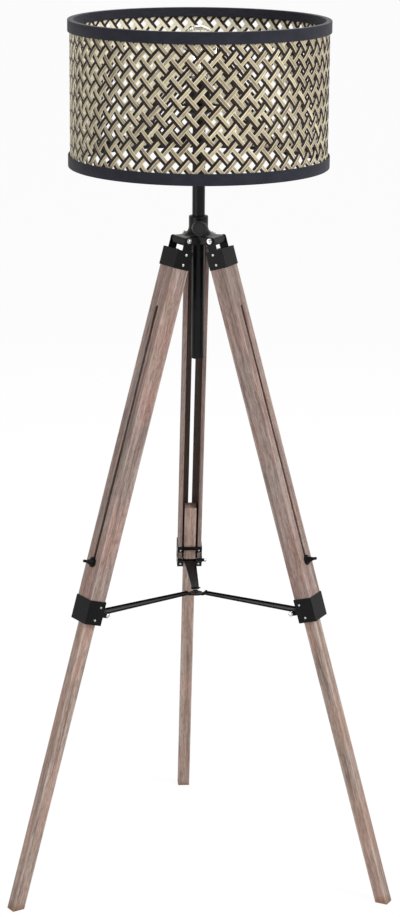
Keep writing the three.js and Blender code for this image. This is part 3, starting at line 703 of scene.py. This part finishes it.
def woven_strips(name, width, offset, seed):
    """All strips of one colour. The offset moves them sideways from the middle of their strand."""
    chance = random.Random(seed)
    body = bmesh.new()
    uv = body.loops.layers.uv.new("surface")
    tint = body.verts.layers.float.new("tint")
    edge = body.verts.layers.float.new("rim")
    step = math.tau / STRANDS
    slope = math.atan2(ROW_PITCH, WALL_RADIUS * step)
    span = WALL_TOP - WALL_BOTTOM
    count = round(span / ROW_PITCH * SAMPLES_PER_ROW)
    strip_length = span / math.sin(slope) * MM
    for lean in (1, -1):
        for strand in range(STRANDS):
            own_width = width * chance.uniform(0.94, 1.04)
            drift = chance.uniform(-DRIFT, DRIFT)
            own_tint = chance.random()
            phase = chance.uniform(0, 50)
            section = strip_section(own_width)
            rings = []
            for k in range(count + 1):
                height = span * k / count
                row = height / ROW_PITCH
                lift = lean * LIFT * math.tanh(LIFT_SHARPNESS * math.cos(math.tau * row))
                wobble = drift + WOBBLE * smooth_noise(Vector((phase, row * 0.7, lean)))
                middle = (strand + lean * row) * step
                ring = []
                for across, out, rim in section:
                    side = across + offset + wobble
                    angle = middle + side * math.sin(slope) / WALL_RADIUS
                    up = height - lean * side * math.cos(slope)
                    radius = (WALL_RADIUS + lift + out) * MM
                    z = (WALL_BOTTOM + min(max(up, 0), span)) * MM
                    vert = body.verts.new((radius * math.cos(angle), radius * math.sin(angle), z))
                    vert[tint] = own_tint
                    vert[edge] = rim
                    ring.append(vert)
                rings.append(ring)
            around = [0.0]
            for a, b in zip(section, section[1:] + section[:1]):
                around.append(around[-1] + math.dist(a[:2], b[:2]) * MM)
            for k, (low, high) in enumerate(zip(rings, rings[1:])):
                v0, v1 = strip_length * k / count, strip_length * (k + 1) / count
                for m in range(len(section)):
                    n = (m + 1) % len(section)
                    face = body.faces.new((low[m], low[n], high[n], high[m]))
                    places = ((around[m], v0), (around[m + 1], v0), (around[m + 1], v1), (around[m], v1))
                    for loop, spot in zip(face.loops, places):
                        loop[uv].uv = spot
            body.faces.new(rings[0])
            body.faces.new(rings[-1])
    bmesh.ops.recalc_face_normals(body, faces=body.faces)
    return shaded(finished_mesh(name, body), 50)


strand_half = (PLAIN_WIDTH + BLACK_WIDTH + STRIP_GAP) / 2
plain_strips = woven_strips("plain_strips", PLAIN_WIDTH, strand_half - PLAIN_WIDTH / 2, 11)
black_strips = woven_strips("black_strips", BLACK_WIDTH, BLACK_WIDTH / 2 - strand_half, 23)
panels = [f"weave_panel_{k}" for k in range(1, 9)]
fitted(plain_strips, upright(), plain_strip, "woven_strips", "shade", *panels)
fitted(black_strips, upright(), black_strip, "woven_strips", "shade")


# Bands and frame wires of the drum

BAND_LIP = 216.4
BAND_FOLD = 1.1


def band(name, lip_height):
    """A cloth band folded round the edge, open upwards."""
    outer, lip, sheet, fold = DRUM_RADIUS, BAND_LIP, BAND_SHEET, BAND_FOLD
    profile = [
        *arc(lip - sheet + fold, fold, fold, 180, 270, 3),
        *arc(outer - fold, fold, fold, 270, 360, 3),
        *arc(outer - 0.5, BAND_HEIGHT - 0.5, 0.5, 0, 90, 2),
        (outer - sheet, BAND_HEIGHT), (outer - sheet, sheet),
        (lip, sheet), (lip, lip_height), (lip - sheet, lip_height),
    ]
    return turned(name, profile, sides=192, closed=True)


bottom_band = band("bottom_band", 6.0)
top_band = moved(band("top_band", 16.0), spun(180, "X"))
fitted(bottom_band, upright(DRUM_BOTTOM), band_cloth, "shade_fabric", "shade", "shade_band_bottom")
fitted(top_band, upright(DRUM_TOP), band_cloth, "shade_fabric", "shade", "shade_band_top")

WIRE_RADIUS = 1.8
for end, node in (("bottom", "shade_wire_bottom"), ("top", "shade_wire_top")):
    low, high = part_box(node)
    ring_radius = (high.x - low.x) / 2 / MM - WIRE_RADIUS
    height = (low.z + high.z) / 2 / MM
    wire = turned(f"{end}_frame_wire", arc(ring_radius, 0, WIRE_RADIUS, 0, 330, 11), sides=144, closed=True)
    fitted(wire, upright(height), black_steel, "black_steel", "shade", node)


def bent_rod(name, points, radius):
    """A round rod along smooth points, in metres, closed at both ends."""
    line = bpy.data.curves.new(name, "CURVE")
    line.dimensions = "3D"
    line.bevel_depth = radius * MM
    line.bevel_resolution = 3
    line.use_fill_caps = True
    spline = line.splines.new("NURBS")
    spline.points.add(len(points) - 1)
    for target, point in zip(spline.points, points):
        target.co = (*point, 1)
    spline.order_u = 4
    spline.use_endpoint_u = True
    spline.resolution_u = 8
    return shaded(evaluated(new_object(name, line), name))


SPOKE_RADIUS = 2.0
SPOKE_LINE = [
    (27.5, 1401.3), (34, 1401.3), (42, 1401.0), (60, 1393.0), (123, 1354.0), (186, 1312.0),
    (203, 1303.4), (210, 1303.2), (216, 1303.2),
]
spoke_points = [(r * MM, 0, z * MM) for r, z in SPOKE_LINE]
for leg in LEGS:
    spoke = bent_rod(f"spider_rod_{leg}", spoke_points, SPOKE_RADIUS)
    fitted(spoke, plane_of(leg), black_steel, "black_steel", "shade", f"spider_spoke_{leg}")

washer = turned("spider_plate", [
    (18.4, 0.2), (18.8, 0), (26.4, 0), (27, 0.4), (27, 1.6), (26.4, 2), (18.8, 2), (18.4, 1.8),
], sides=64, closed=True)
washer_place = upright(HOLDER_SEAT + FIT_GAP)
fitted(washer, washer_place, black_steel, "black_steel", "shade", "spider_washer")


# Lampholder and bulb

holder_base = turned("holder_base", [
    (11.4, -26), (13.0, -26), (13.5, -25.4), (13.5, -18.6), *arc(15.0, -18.0, 1.5, 180, 120, 3),
    (20.0, -12.6), *arc(20.0, -10.6, 1.0, 310, 360, 3), (21, -0.6), (20.4, 0), (0, 0),
    (0, -10.8), (11.4, -10.8),
], sides=64, closed=True)
fitted(holder_base, upright(HOLDER_SEAT), black_plastic, "holder_plastic", "post", "holder_cap")

holder_cup = turned("holder_cup", [
    (0, 0), (17.6, 0), (18, 0.4), (18, 39.2), (17.4, 40), (15.0, 40), (14.4, 39.4), (14.4, 8), (0, 8),
], sides=64)
fitted(holder_cup, upright(HOLDER_SEAT + FIT_GAP), black_plastic, "holder_plastic", "post", "holder_shell")

NUT_RISE = 2.6
ring_nut = turned("shade_ring_nut", [
    (18.4, 0.4), (18.8, 0), (23.2, 0), (24, 0.8), (24, 8.2), (23.2, 9), (18.8, 9), (18.4, 8.6),
], sides=144, closed=True, wave=knurl(18, 0.045, 22))
fitted(ring_nut, upright(HOLDER_SEAT + NUT_RISE), black_plastic, "holder_plastic", "post", "holder_ring")
refinish("holder_contact", bright_steel, 0.3)

BULB_RADIUS = 30.0
NECK_RADIUS = 13.4
GLASS_WALL = 0.9
STEM_TOP = 6.0
bulb_low, bulb_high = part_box("bulb_glass")
bulb_centre = bulb_high.z / MM - BULB_RADIUS
neck_drop = bulb_centre - bulb_low.z / MM


def bulb_outline(inset):
    """Neck and ball of the bulb from its foot up to its crown, moved inwards by an inset."""
    pull = [
        (NECK_RADIUS, inset - neck_drop), (NECK_RADIUS, -neck_drop * 0.58),
        (BULB_RADIUS, -neck_drop * 0.5), (BULB_RADIUS, 0),
    ]
    steps = 24
    points = []
    for k in range(steps + 1):
        t = k / steps
        weights = [(1 - t) ** 3, 3 * t * (1 - t) ** 2, 3 * t * t * (1 - t), t ** 3]
        radius, height = (sum(w * p[axis] for w, p in zip(weights, pull)) for axis in (0, 1))
        points.append((radius - inset, height))
    return [*points, *arc(0, 0, BULB_RADIUS - inset, 0, 90, 20)[1:-1], (0, BULB_RADIUS - inset)]


dome = turned("bulb_dome", [
    (0, -neck_drop), *bulb_outline(0), *reversed(bulb_outline(GLASS_WALL)), (0, GLASS_WALL - neck_drop),
], sides=72)
fitted(dome, upright(bulb_centre), clear_glass, "bulb_glass", "bulb", "bulb_glass")

stem_foot = 1.2 - neck_drop
stem = turned("bulb_stem", [
    (0, stem_foot), (11.0, stem_foot), (8.5, stem_foot + 4), (3.4, stem_foot + 12), (2.4, stem_foot + 18),
    (2.2, STEM_TOP - 2), (3.2, STEM_TOP - 0.6), (2.6, STEM_TOP + 0.4), (0, STEM_TOP + 0.8),
], sides=32)
fitted(stem, upright(bulb_centre), clear_glass, "bulb_glass", "bulb")


def filament(angle):
    """A straight thread from the stem's top down to its waist, leaning outwards."""
    thread = turned("thread", [(0, -13), (0.8, -12.6), (0.8, 12.6), (0, 13)], sides=12)
    return moved(thread, spun(angle, "Z") @ at(5.2, 0, -9) @ spun(14, "Y"))


THREAD_TURNS = 4
cap_low, cap_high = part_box("bulb_screw_cap")
cap_height = (cap_high.z - cap_low.z) / MM
waves = [(12.65 + 0.35 * math.sin(math.tau * k / 5), 8.0 + k * 0.72) for k in range(5 * THREAD_TURNS)]
screw_cap = turned("bulb_thread", [
    (0, 0), (4.6, 0), (5, 0.4), (5, 3), (11.6, 6.5), *waves, (12.6, cap_height - 3), (12.6, cap_height),
    (0, cap_height),
], sides=48)
fitted(screw_cap, upright(cap_low.z / MM), bright_steel, "bright_steel", "bulb", "bulb_screw_cap")


# Post

post_low, post_high = (corner.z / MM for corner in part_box("post_tube"))
post = turned("post_pipe", [
    (POST_BORE, post_low + 0.2), (POST_BORE + 0.2, post_low), (POST_RADIUS - 0.2, post_low),
    (POST_RADIUS, post_low + 0.2), (POST_RADIUS, post_high - 0.3), (POST_RADIUS - 0.3, post_high),
    (POST_BORE, post_high),
], sides=64, closed=True)
fitted(post, upright(), hub_enamel, "black_steel", "post", "post_tube")

gland = turned("post_gland", [
    (7.1, -2), (10.4, -2), (11, -1.4), (11, -0.3), (9.5, -0.3), (9.5, 12), (7.1, 12),
], sides=48, closed=True)
fitted(gland, upright(post_low), black_plastic, "holder_plastic", "post", "post_bushing")


# Hub: a turned flare cut to three lugs, then softened all over as a casting is

LUG_HALF = 21.5
LUG_REACH = 41.5
LUG_RISE = 5.0
LUG_DROP = 8.7
LUG_TOP_ROUND = 5.0
LUG_BOTTOM_ROUND = 3.0
FLARE_ROUND = 15.4
SLEEVE_RISE = 38.7
BORE_RADIUS = 11.3
BOSS_RADIUS = 7.5
ROD_HOLE = 3.3
PIN_HOLE = 2.8
KNOB_RISE = 21.5


def rod(name, radius, length, place, sides=32):
    """A plain tool rod along its own Z, centred, moved to its place."""
    half = length / 2
    return moved(turned(name, [(0, -half), (radius, -half), (radius, half), (0, half)], sides), place)


def lug_plan():
    """The three lugs from above, as one star with square ends, a little longer than the lugs."""
    outline = []
    root, end = LUG_HALF / math.tan(math.radians(60)), LUG_REACH + 5
    for azimuth in LEGS.values():
        a = math.radians(azimuth)
        for x, y in ((root, -LUG_HALF), (end, -LUG_HALF), (end, LUG_HALF)):
            outline.append((x * math.cos(a) - y * math.sin(a), x * math.sin(a) + y * math.cos(a)))
    return outline


def lug_end(azimuth):
    """Tool that cuts a lug's end square and rounds its upper and lower edge."""
    side = [
        (LUG_REACH - LUG_BOTTOM_ROUND, -LUG_DROP - 6), (LUG_REACH + 9, -LUG_DROP - 6),
        (LUG_REACH + 9, LUG_RISE + 6), (LUG_REACH - LUG_TOP_ROUND, LUG_RISE + 6),
        *arc(LUG_REACH - LUG_TOP_ROUND, LUG_RISE - LUG_TOP_ROUND, LUG_TOP_ROUND, 90, 0, 6),
        *arc(LUG_REACH - LUG_BOTTOM_ROUND, LUG_BOTTOM_ROUND - LUG_DROP, LUG_BOTTOM_ROUND, 0, -90, 5),
    ]
    turn = spun(azimuth, "Z") @ at(0, LUG_HALF * 1.5, 0) @ FORWARD
    return prism("lug_end", side, LUG_HALF * 3, turn=turn)


flare = turned("flare", [
    (0, 5.1), (24, 5.1), (25.5, -LUG_DROP), (60, -LUG_DROP), (60, LUG_RISE),
    *arc(SLEEVE_RADIUS + FLARE_ROUND, LUG_RISE + FLARE_ROUND, FLARE_ROUND, 270, 180, 14),
    (SLEEVE_RADIUS, SLEEVE_RISE - 1), (SLEEVE_RADIUS - 1, SLEEVE_RISE), (0, SLEEVE_RISE),
], sides=144)
steps = [("INTERSECT", prism("lugs", lug_plan(), 60, turn=at(0, 0, -15)))]
steps += [("DIFFERENCE", lug_end(azimuth)) for azimuth in LEGS.values()]
steps.append(("UNION", rod("boss", BOSS_RADIUS, 23, at(0, -11.5, KNOB_RISE) @ FORWARD)))
steps.append(("DIFFERENCE", rod("bore", BORE_RADIUS, 90, at(0, 0, 20), 64)))
steps.append(("DIFFERENCE", rod("rod_hole", ROD_HOLE, 30, at(0, -15, KNOB_RISE) @ FORWARD)))
for azimuth in LEGS.values():
    across_lug = spun(azimuth, "Z") @ at(PIVOT_RADIUS, 0, 0) @ FORWARD
    steps.append(("DIFFERENCE", rod("pin_hole", PIN_HOLE, 50, across_lug)))
hub_piece = new_object("hub_body", carved("hub_body", flare, *steps), upright(PIVOT_HEIGHT))
remesh = hub_piece.modifiers.new("cast_skin", "REMESH")
remesh.mode = "VOXEL"
remesh.voxel_size = 0.8 * MM
soften = hub_piece.modifiers.new("cast_rounding", "SMOOTH")
soften.factor = 0.5
soften.iterations = 3
thin = hub_piece.modifiers.new("fewer_faces", "DECIMATE")
thin.ratio = 0.35
hub_mesh = shaded(evaluated(hub_piece, "hub_body"), 60)
dress(new_object("hub_body", hub_mesh, upright(PIVOT_HEIGHT)), hub_enamel, "hub_iron", "hub", "hub_casting")


# Clamp knob

knob = turned("knob_body", [
    (0, 11.3), (3, 11.3), (3, 23.3), (8, 23.3), (8, 26.3), (11.1, 26.3), *arc(11.1, 28.8, 2.5, 280, 360, 4),
    *arc(11.1, 34.8, 2.5, 0, 90, 5), (10.2, 37.3), *arc(9.7, 36.6, 0.5, 60, 150, 3), (8.8, 36.1), (0, 36.0),
], sides=120, wave=knurl(20, 0.05, 11))
knob_place = upright(PIVOT_HEIGHT + KNOB_RISE) @ FORWARD
fitted(knob, knob_place, knob_gloss, "black_steel", "knob", "clamp_knob")


# Bolts, nuts and screws

def hex_nut(height, across_flats, place):
    """A nut with its corners chamfered by a cone at both ends."""
    cone = across_flats / 2
    trim = turned("trim", [
        (0, 0), (cone, 0), (cone + 1.2, 0.7), (cone + 1.2, height - 0.7), (cone, height), (0, height),
    ], sides=48)
    hexagon = arc(0, 0, across_flats / math.sqrt(3), 0, 300, 5)
    nut = carved("nut", prism("nut", hexagon, height), ("INTERSECT", trim))
    return moved(shaded(nut, 20), place)


def threaded(radius, low, high, pitch=1.0):
    """Profile points of a screw thread drawn as fine rings."""
    count = max(2, round((high - low) / pitch * 2))
    return [(radius * (1 - 0.09 * (k % 2)), low + (high - low) * k / count) for k in range(count + 1)]


def hub_bolt(leg):
    """Domed head towards +Y of the leg, hexagon nut and threaded end towards -Y."""
    grip, tall, stud = 23.3, 4.6, 32.4
    shaft = turned("shaft", [
        (0, -stud), (1.9, -stud), *threaded(2.5, 0.5 - stud, -grip), (2.5, grip), (4.4, grip),
        (4.4, grip + 1.2), *arc(0, grip - 1.9, 4.9, 40, 90, 6)[:-1], (0, grip + 3),
    ], sides=32)
    nut = hex_nut(tall, 9.0, at(0, 0, -grip - tall))
    mesh = moved(joined_mesh(f"hub_pin_{leg}", [shaft, nut]), ACROSS)
    place = plane_of(leg) @ at(PIVOT_RADIUS, 0, PIVOT_HEIGHT)
    fitted(mesh, place, bright_steel, "bright_steel", "hub", f"hub_bolt_{leg}")


def stay_pin(leg):
    """Dark cross bolt with a spacer on each side of the stay, up to the nut's dark bushing."""
    inner, outer = 11.5, 21.5
    bar, spacer, bushing = 2.3, 3.3, 3.0
    shaft = turned(f"stay_pin_{leg}", [
        (0, -PIN_SEAT - 4), (bushing, -PIN_SEAT - 4), (bushing, -PIN_SEAT), (bar, -PIN_SEAT), (bar, -outer),
        (spacer, -outer), (spacer, -inner), (bar, -inner), (bar, inner), (spacer, inner), (spacer, outer),
        (bar, outer), (bar, PIN_SEAT + 0.5), (0, PIN_SEAT + 0.5),
    ], sides=32)
    place = place_on(leg) @ at(STAY_PIVOT[0], 0, STAY_PIVOT[1])
    fitted(moved(shaft, ACROSS), place, black_steel, "black_steel", f"leg_{leg}", f"stay_bolt_{leg}")


def stay_pin_ends(leg):
    """Bright domed nut and button head on the ends of the cross bolt."""
    seat, tip = -PIN_SEAT - 3.3, -PIN_SEAT - 8.0
    nut = turned("nut", [
        (0, tip), (1.8, tip), (3.5, tip + 0.7), (4.2, tip + 1.8), (4.3, seat - 0.5), (3.9, seat), (0, seat),
    ], sides=36, wave=knurl(6, 0.03, 3.5, sharpness=1))
    head = turned("head", [
        (0, PIN_SEAT), (3.6, PIN_SEAT), (3.8, PIN_SEAT + 0.3), (3.6, PIN_SEAT + 1.4), (2.6, PIN_SEAT + 2.2),
        (0, PIN_SEAT + 2.5),
    ], sides=32)
    mesh = moved(joined_mesh(f"stay_pin_ends_{leg}", [nut, head]), ACROSS)
    place = place_on(leg) @ at(STAY_PIVOT[0], 0, STAY_PIVOT[1])
    fitted(mesh, place, bright_steel, "bright_steel", f"leg_{leg}")


def tip_bolt(leg):
    """Short bolt across the stay's inner end, over its web."""
    tilt = math.radians(LEG_TILT)
    pivot_height = PIVOT_HEIGHT + STAY_PIVOT[0] * math.sin(tilt) + STAY_PIVOT[1] * math.cos(tilt)
    half = STAY_INNER_HALF
    inside = half - STAY_SHEET - 0.2
    mesh = turned(f"stay_tip_bolt_{leg}", [
        (0, -half - 2.4), (1.0, -half - 2.4), *threaded(1.3, -half - 2.1, -half, 0.8), (1.0, -half),
        (1.0, -inside), (1.5, -inside), (1.5, inside), (1.0, inside), (1.0, half), (2.2, half),
        (2.2, half + 0.8), (1.6, half + 1.5), (0, half + 1.7),
    ], sides=20)
    place = plane_of(leg) @ at(TIP_RADIUS, 0, pivot_height + TIP_RISE)
    fitted(moved(mesh, ACROSS), place, black_steel, "black_steel", f"strut_{leg}")


def screw_head(radius, height):
    """A domed head with a crossed recess, its seat at z = 0."""
    dome = turned("dome", [
        (0, 0), (radius, 0), (radius, height * 0.25), (radius * 0.86, height * 0.68),
        (radius * 0.5, height * 0.94), (0, height),
    ], sides=24)
    long, narrow, bottom, top = radius * 0.6, radius * 0.14, height * 0.45, height * 2
    bar = [(-long, -narrow), (long, -narrow), (long, narrow), (-long, narrow)]
    slots = []
    for angle in (0, 90):
        slot = prism("bar", bar, top - bottom, turn=at(0, 0, bottom))
        slots.append(("DIFFERENCE", moved(slot, spun(angle, "Z"))))
    return shaded(carved("screw_head", dome, *slots))


def on_cheek(outwards, height, side, spin):
    """On a cheek of cap or collar; side is 1 or -1."""
    return at(outwards, side * CHEEK_SIDE, height) @ spun(-90 * side, "X") @ spun(spin, "Z")


def on_flange(across, height, side, spin):
    """On a flange of the collar, looking towards the post."""
    return at(COLLAR_INNER, side * across, height) @ spun(-90, "Y") @ spun(spin, "Z")


CAP_SCREW = screw_head(2.6, 1.5)
COLLAR_SCREW = screw_head(2.1, 1.1)

# Each kind of screw: its head, how it sits, its two places and the spin for each millimetre of height
SCREWS = {
    "cap_screws": (CAP_SCREW, on_cheek, [(-2.0, -24.5), (-0.5, -42.5)], 20),
    "collar_screws": (COLLAR_SCREW, on_cheek, [(-7.5, -656.5), (-1.5, -680.5)], 17),
    "flange_screws": (COLLAR_SCREW, on_flange, [(17.0, -653.6), (17.0, -683.0)], 31),
}


def leg_screws(leg):
    for name, (head, seated, places, spin) in SCREWS.items():
        heads = [
            moved(head.copy(), seated(place, height, side, spin * height))
            for place, height in places for side in (1, -1)
        ]
        mesh = joined_mesh(f"{name}_{leg}", heads)
        fitted(mesh, place_on(leg), bright_steel, "bright_steel", f"leg_{leg}")


filaments = joined_mesh("bulb_filaments", [filament(angle) for angle in (45, 135, 225, 315)])
fitted(filaments, upright(bulb_centre), lit_thread, "bulb_glass", "bulb")


# Legs

# How dark each timber is drawn: left and right their own tone, the rear darker as painted shade from hub and
# legs
TIMBER_TONE_AND_SHADE = {"rear": 0.75, "left": 0.0, "right": 0.12}


def tinted(mesh, share):
    """Stores how dark this timber is drawn: its own tone, and on the rear leg painted shade."""
    stored = mesh.attributes.new("tint", "FLOAT", "POINT")
    stored.data.foreach_set("value", [share] * len(mesh.vertices))
    return mesh


def wooden_channel(leg):
    """Slotted board and two rails, open towards the post."""
    half = LEG_WIDTH / 2
    board_inner = WOOD_OUTER - BOARD_THICKNESS
    rail = half - RAIL_THICKNESS
    section = [
        (WOOD_INNER, -half), (WOOD_OUTER, -half), (WOOD_OUTER, half), (WOOD_INNER, half),
        (WOOD_INNER, rail), (board_inner, rail), (board_inner, -rail), (WOOD_INNER, -rail),
    ]
    channel = prism("channel", section, WOOD_TOP - WOOD_BOTTOM, turn=at(0, 0, WOOD_BOTTOM))
    round_end = SLOT_WIDTH / 2
    slot_shape = [
        *arc(0, SLOT_TOP - round_end, round_end, 0, 180, 10),
        *arc(0, SLOT_BOTTOM + round_end, round_end, 180, 360, 10),
    ]
    slot_tool = prism("slot", slot_shape, 20, turn=at(board_inner - 5, 0, 0) @ spun(90, "Z") @ FORWARD)
    mesh = carved(f"leg_channel_{leg}", channel, ("DIFFERENCE", slot_tool))
    nodes = [f"leg_board_{leg}", f"leg_rail_a_{leg}", f"leg_rail_b_{leg}"]
    piece = new_object(mesh.name, tinted(shaded(mesh, 30), TIMBER_TONE_AND_SHADE[leg]), place_on(leg))
    soften_edges(piece, 0.7)
    dress(piece, leg_wood, "leg_wood", f"leg_{leg}", *nodes)


def sliding_stick(leg):
    """Square stick whose foot is cut level with the floor."""
    tilt = math.radians(LEG_TILT)
    inner_foot, outer_foot = (
        -(PIVOT_HEIGHT + x * math.sin(tilt)) / math.cos(tilt) for x in (STICK_INNER, STICK_OUTER)
    )
    side_view = [
        (STICK_INNER, inner_foot), (STICK_OUTER, outer_foot),
        (STICK_OUTER, STICK_TOP), (STICK_INNER, STICK_TOP),
    ]
    mesh = prism(f"stick_{leg}", side_view, STICK_WIDTH, turn=at(0, STICK_WIDTH / 2, 0) @ FORWARD)
    piece = new_object(mesh.name, tinted(shaded(mesh, 30), TIMBER_TONE_AND_SHADE[leg] / 3), place_on(leg))
    soften_edges(piece, 0.9)
    dress(piece, stick_wood, "leg_wood", f"stick_{leg}", f"lower_stick_{leg}")


def turning_screw(leg):
    """Thumb screw through the slot, with a knurled collar."""
    mesh = turned(f"clamp_screw_{leg}", [
        (0, -17.3), (3, -17.3), (3, 0), (8.4, 0), (9, 0.6), (9, 2.8), (8.4, 3.4), (6.6, 3.5), (6.2, 4.6),
        (4.4, 9.4), (2.9, 13.6), (2.6, 14.4), (2.6, 19.4), (2.1, 20), (0, 20),
    ], sides=96, wave=knurl(16, 0.07, 8.2))
    place = place_on(leg) @ at(WOOD_OUTER + FIT_GAP, 0, -SCREW_DROP) @ OUTWARD
    fitted(mesh, place, black_steel, "black_steel", f"screw_{leg}", f"thumb_screw_{leg}")


for leg in LEGS:
    for make in (wooden_channel, sliding_stick, turning_screw, hub_bolt, stay_pin, stay_pin_ends, tip_bolt,
                 leg_screws):
        make(leg)
    refinish(f"leg_cap_{leg}", black_steel, 0.5)
    refinish(f"leg_collar_{leg}", black_steel, 0.5)
    refinish(f"stay_{leg}", black_steel, 0.4)
refinish("spreader_plate", black_steel, 0.4)


# Floor, light and camera

FLOOR_HALF = 30
FLOOR_SHADE = (0.85, 0.85, 0.85, 1.0)
FLOOR_GLOW = 1.04
FLOOR_SHARE = 0.88
MIRRORED_SHARE = 0.8
SKY_ON_LAMP = 0.5


def where_seen(net):
    """1 for what the camera sees, also through glass, and less for what metal mirrors."""
    path = net.node("ShaderNodeLightPath").outputs
    direct = net.value("MAXIMUM", path["Is Camera Ray"], path["Is Transmission Ray"])
    return net.value("MAXIMUM", direct, net.product(path["Is Glossy Ray"], MIRRORED_SHARE))


def pale_floor():
    """Reads as white where the camera looks at it, and keeps the lamp's shadow."""
    material = bpy.data.materials.new("pale_floor")
    net = cleared(material)
    matt = net.node("ShaderNodeBsdfDiffuse", Color=FLOOR_SHADE)
    glow = net.node("ShaderNodeEmission", Color=WHITE, Strength=FLOOR_GLOW)
    mix = net.node("ShaderNodeMixShader")
    net.fill(mix.inputs, (net.product(where_seen(net), FLOOR_SHARE), matt.outputs[0], glow.outputs[0]))
    net.link(mix.outputs[0], net.node("ShaderNodeOutputMaterial").inputs[0])
    return material


floor_mesh = bpy.data.meshes.new("floor")
floor_corners = [(x * FLOOR_HALF, y * FLOOR_HALF, 0) for x, y in ((-1, -1), (1, -1), (1, 1), (-1, 1))]
floor_mesh.from_pydata(floor_corners, [], [(0, 1, 2, 3)])
floor_mesh.materials.append(pale_floor())
floor = new_object("floor", floor_mesh, Matrix.Translation((0, 0, -0.0004)))

world = bpy.data.worlds.new("studio")
net = cleared(world)
sky = net.node("ShaderNodeBackground", Color=WHITE)
net.link(net.value("MAXIMUM", where_seen(net), SKY_ON_LAMP), sky.inputs[1])
net.link(sky.outputs[0], net.node("ShaderNodeOutputWorld").inputs[0])
bpy.context.scene.world = world

# Each soft light: place and target in metres, size in metres, power in watts
SOFT_LIGHTS = {
    "key_light": ((2.7, -2.3, 2.9), (0, -0.08, 1.0), (1.6, 1.6), 100),
    "fill_light": ((-2.6, -2.0, 1.0), (0, -0.08, 0.8), (1.6, 2.0), 22),
    "rim_light": ((0.6, 2.8, 3.2), (0, -0.08, 1.1), (2.0, 1.2), 45),
}
for name, (place, target, size, power) in SOFT_LIGHTS.items():
    light = bpy.data.lights.new(name, "AREA")
    light.shape = "RECTANGLE"
    light.size, light.size_y = size
    light.energy = power
    piece = new_object(name, light)
    piece.location = place
    piece.rotation_euler = (Vector(target) - Vector(place)).to_track_quat("-Z", "Y").to_euler()

# The camera, fitted to the photograph: places in metres, angles in degrees, the rest in pixels
CAMERA_AZIMUTH = -3.45
CAMERA_DISTANCE = 4.4
CAMERA_HEIGHT = 1.96
CAMERA_PITCH = 15.1
CAMERA_ROLL = 0.38
PICTURE = (400, 917)
FOCAL_PIXELS = 2568.0
AXIS_PIXEL = 196.9
SENSOR = 36.0

lens = bpy.data.cameras.new("photo_camera")
lens.sensor_width = SENSOR
lens.lens = FOCAL_PIXELS * SENSOR / PICTURE[1]
lens.shift_x = (PICTURE[0] / 2 - AXIS_PIXEL) / PICTURE[1]
lens.clip_end = 100
azimuth = math.radians(CAMERA_AZIMUTH)
stand = Vector((
    AXIS_X + math.sin(azimuth) * CAMERA_DISTANCE,
    AXIS_Y - math.cos(azimuth) * CAMERA_DISTANCE,
    CAMERA_HEIGHT,
))
aim = spun(CAMERA_AZIMUTH, "Z") @ spun(90 - CAMERA_PITCH, "X") @ spun(CAMERA_ROLL, "Z")
camera = new_object("photo_camera", lens, Matrix.Translation(stand) @ aim)
bpy.context.scene.camera = camera
bpy.context.scene.view_settings.view_transform = "Standard"
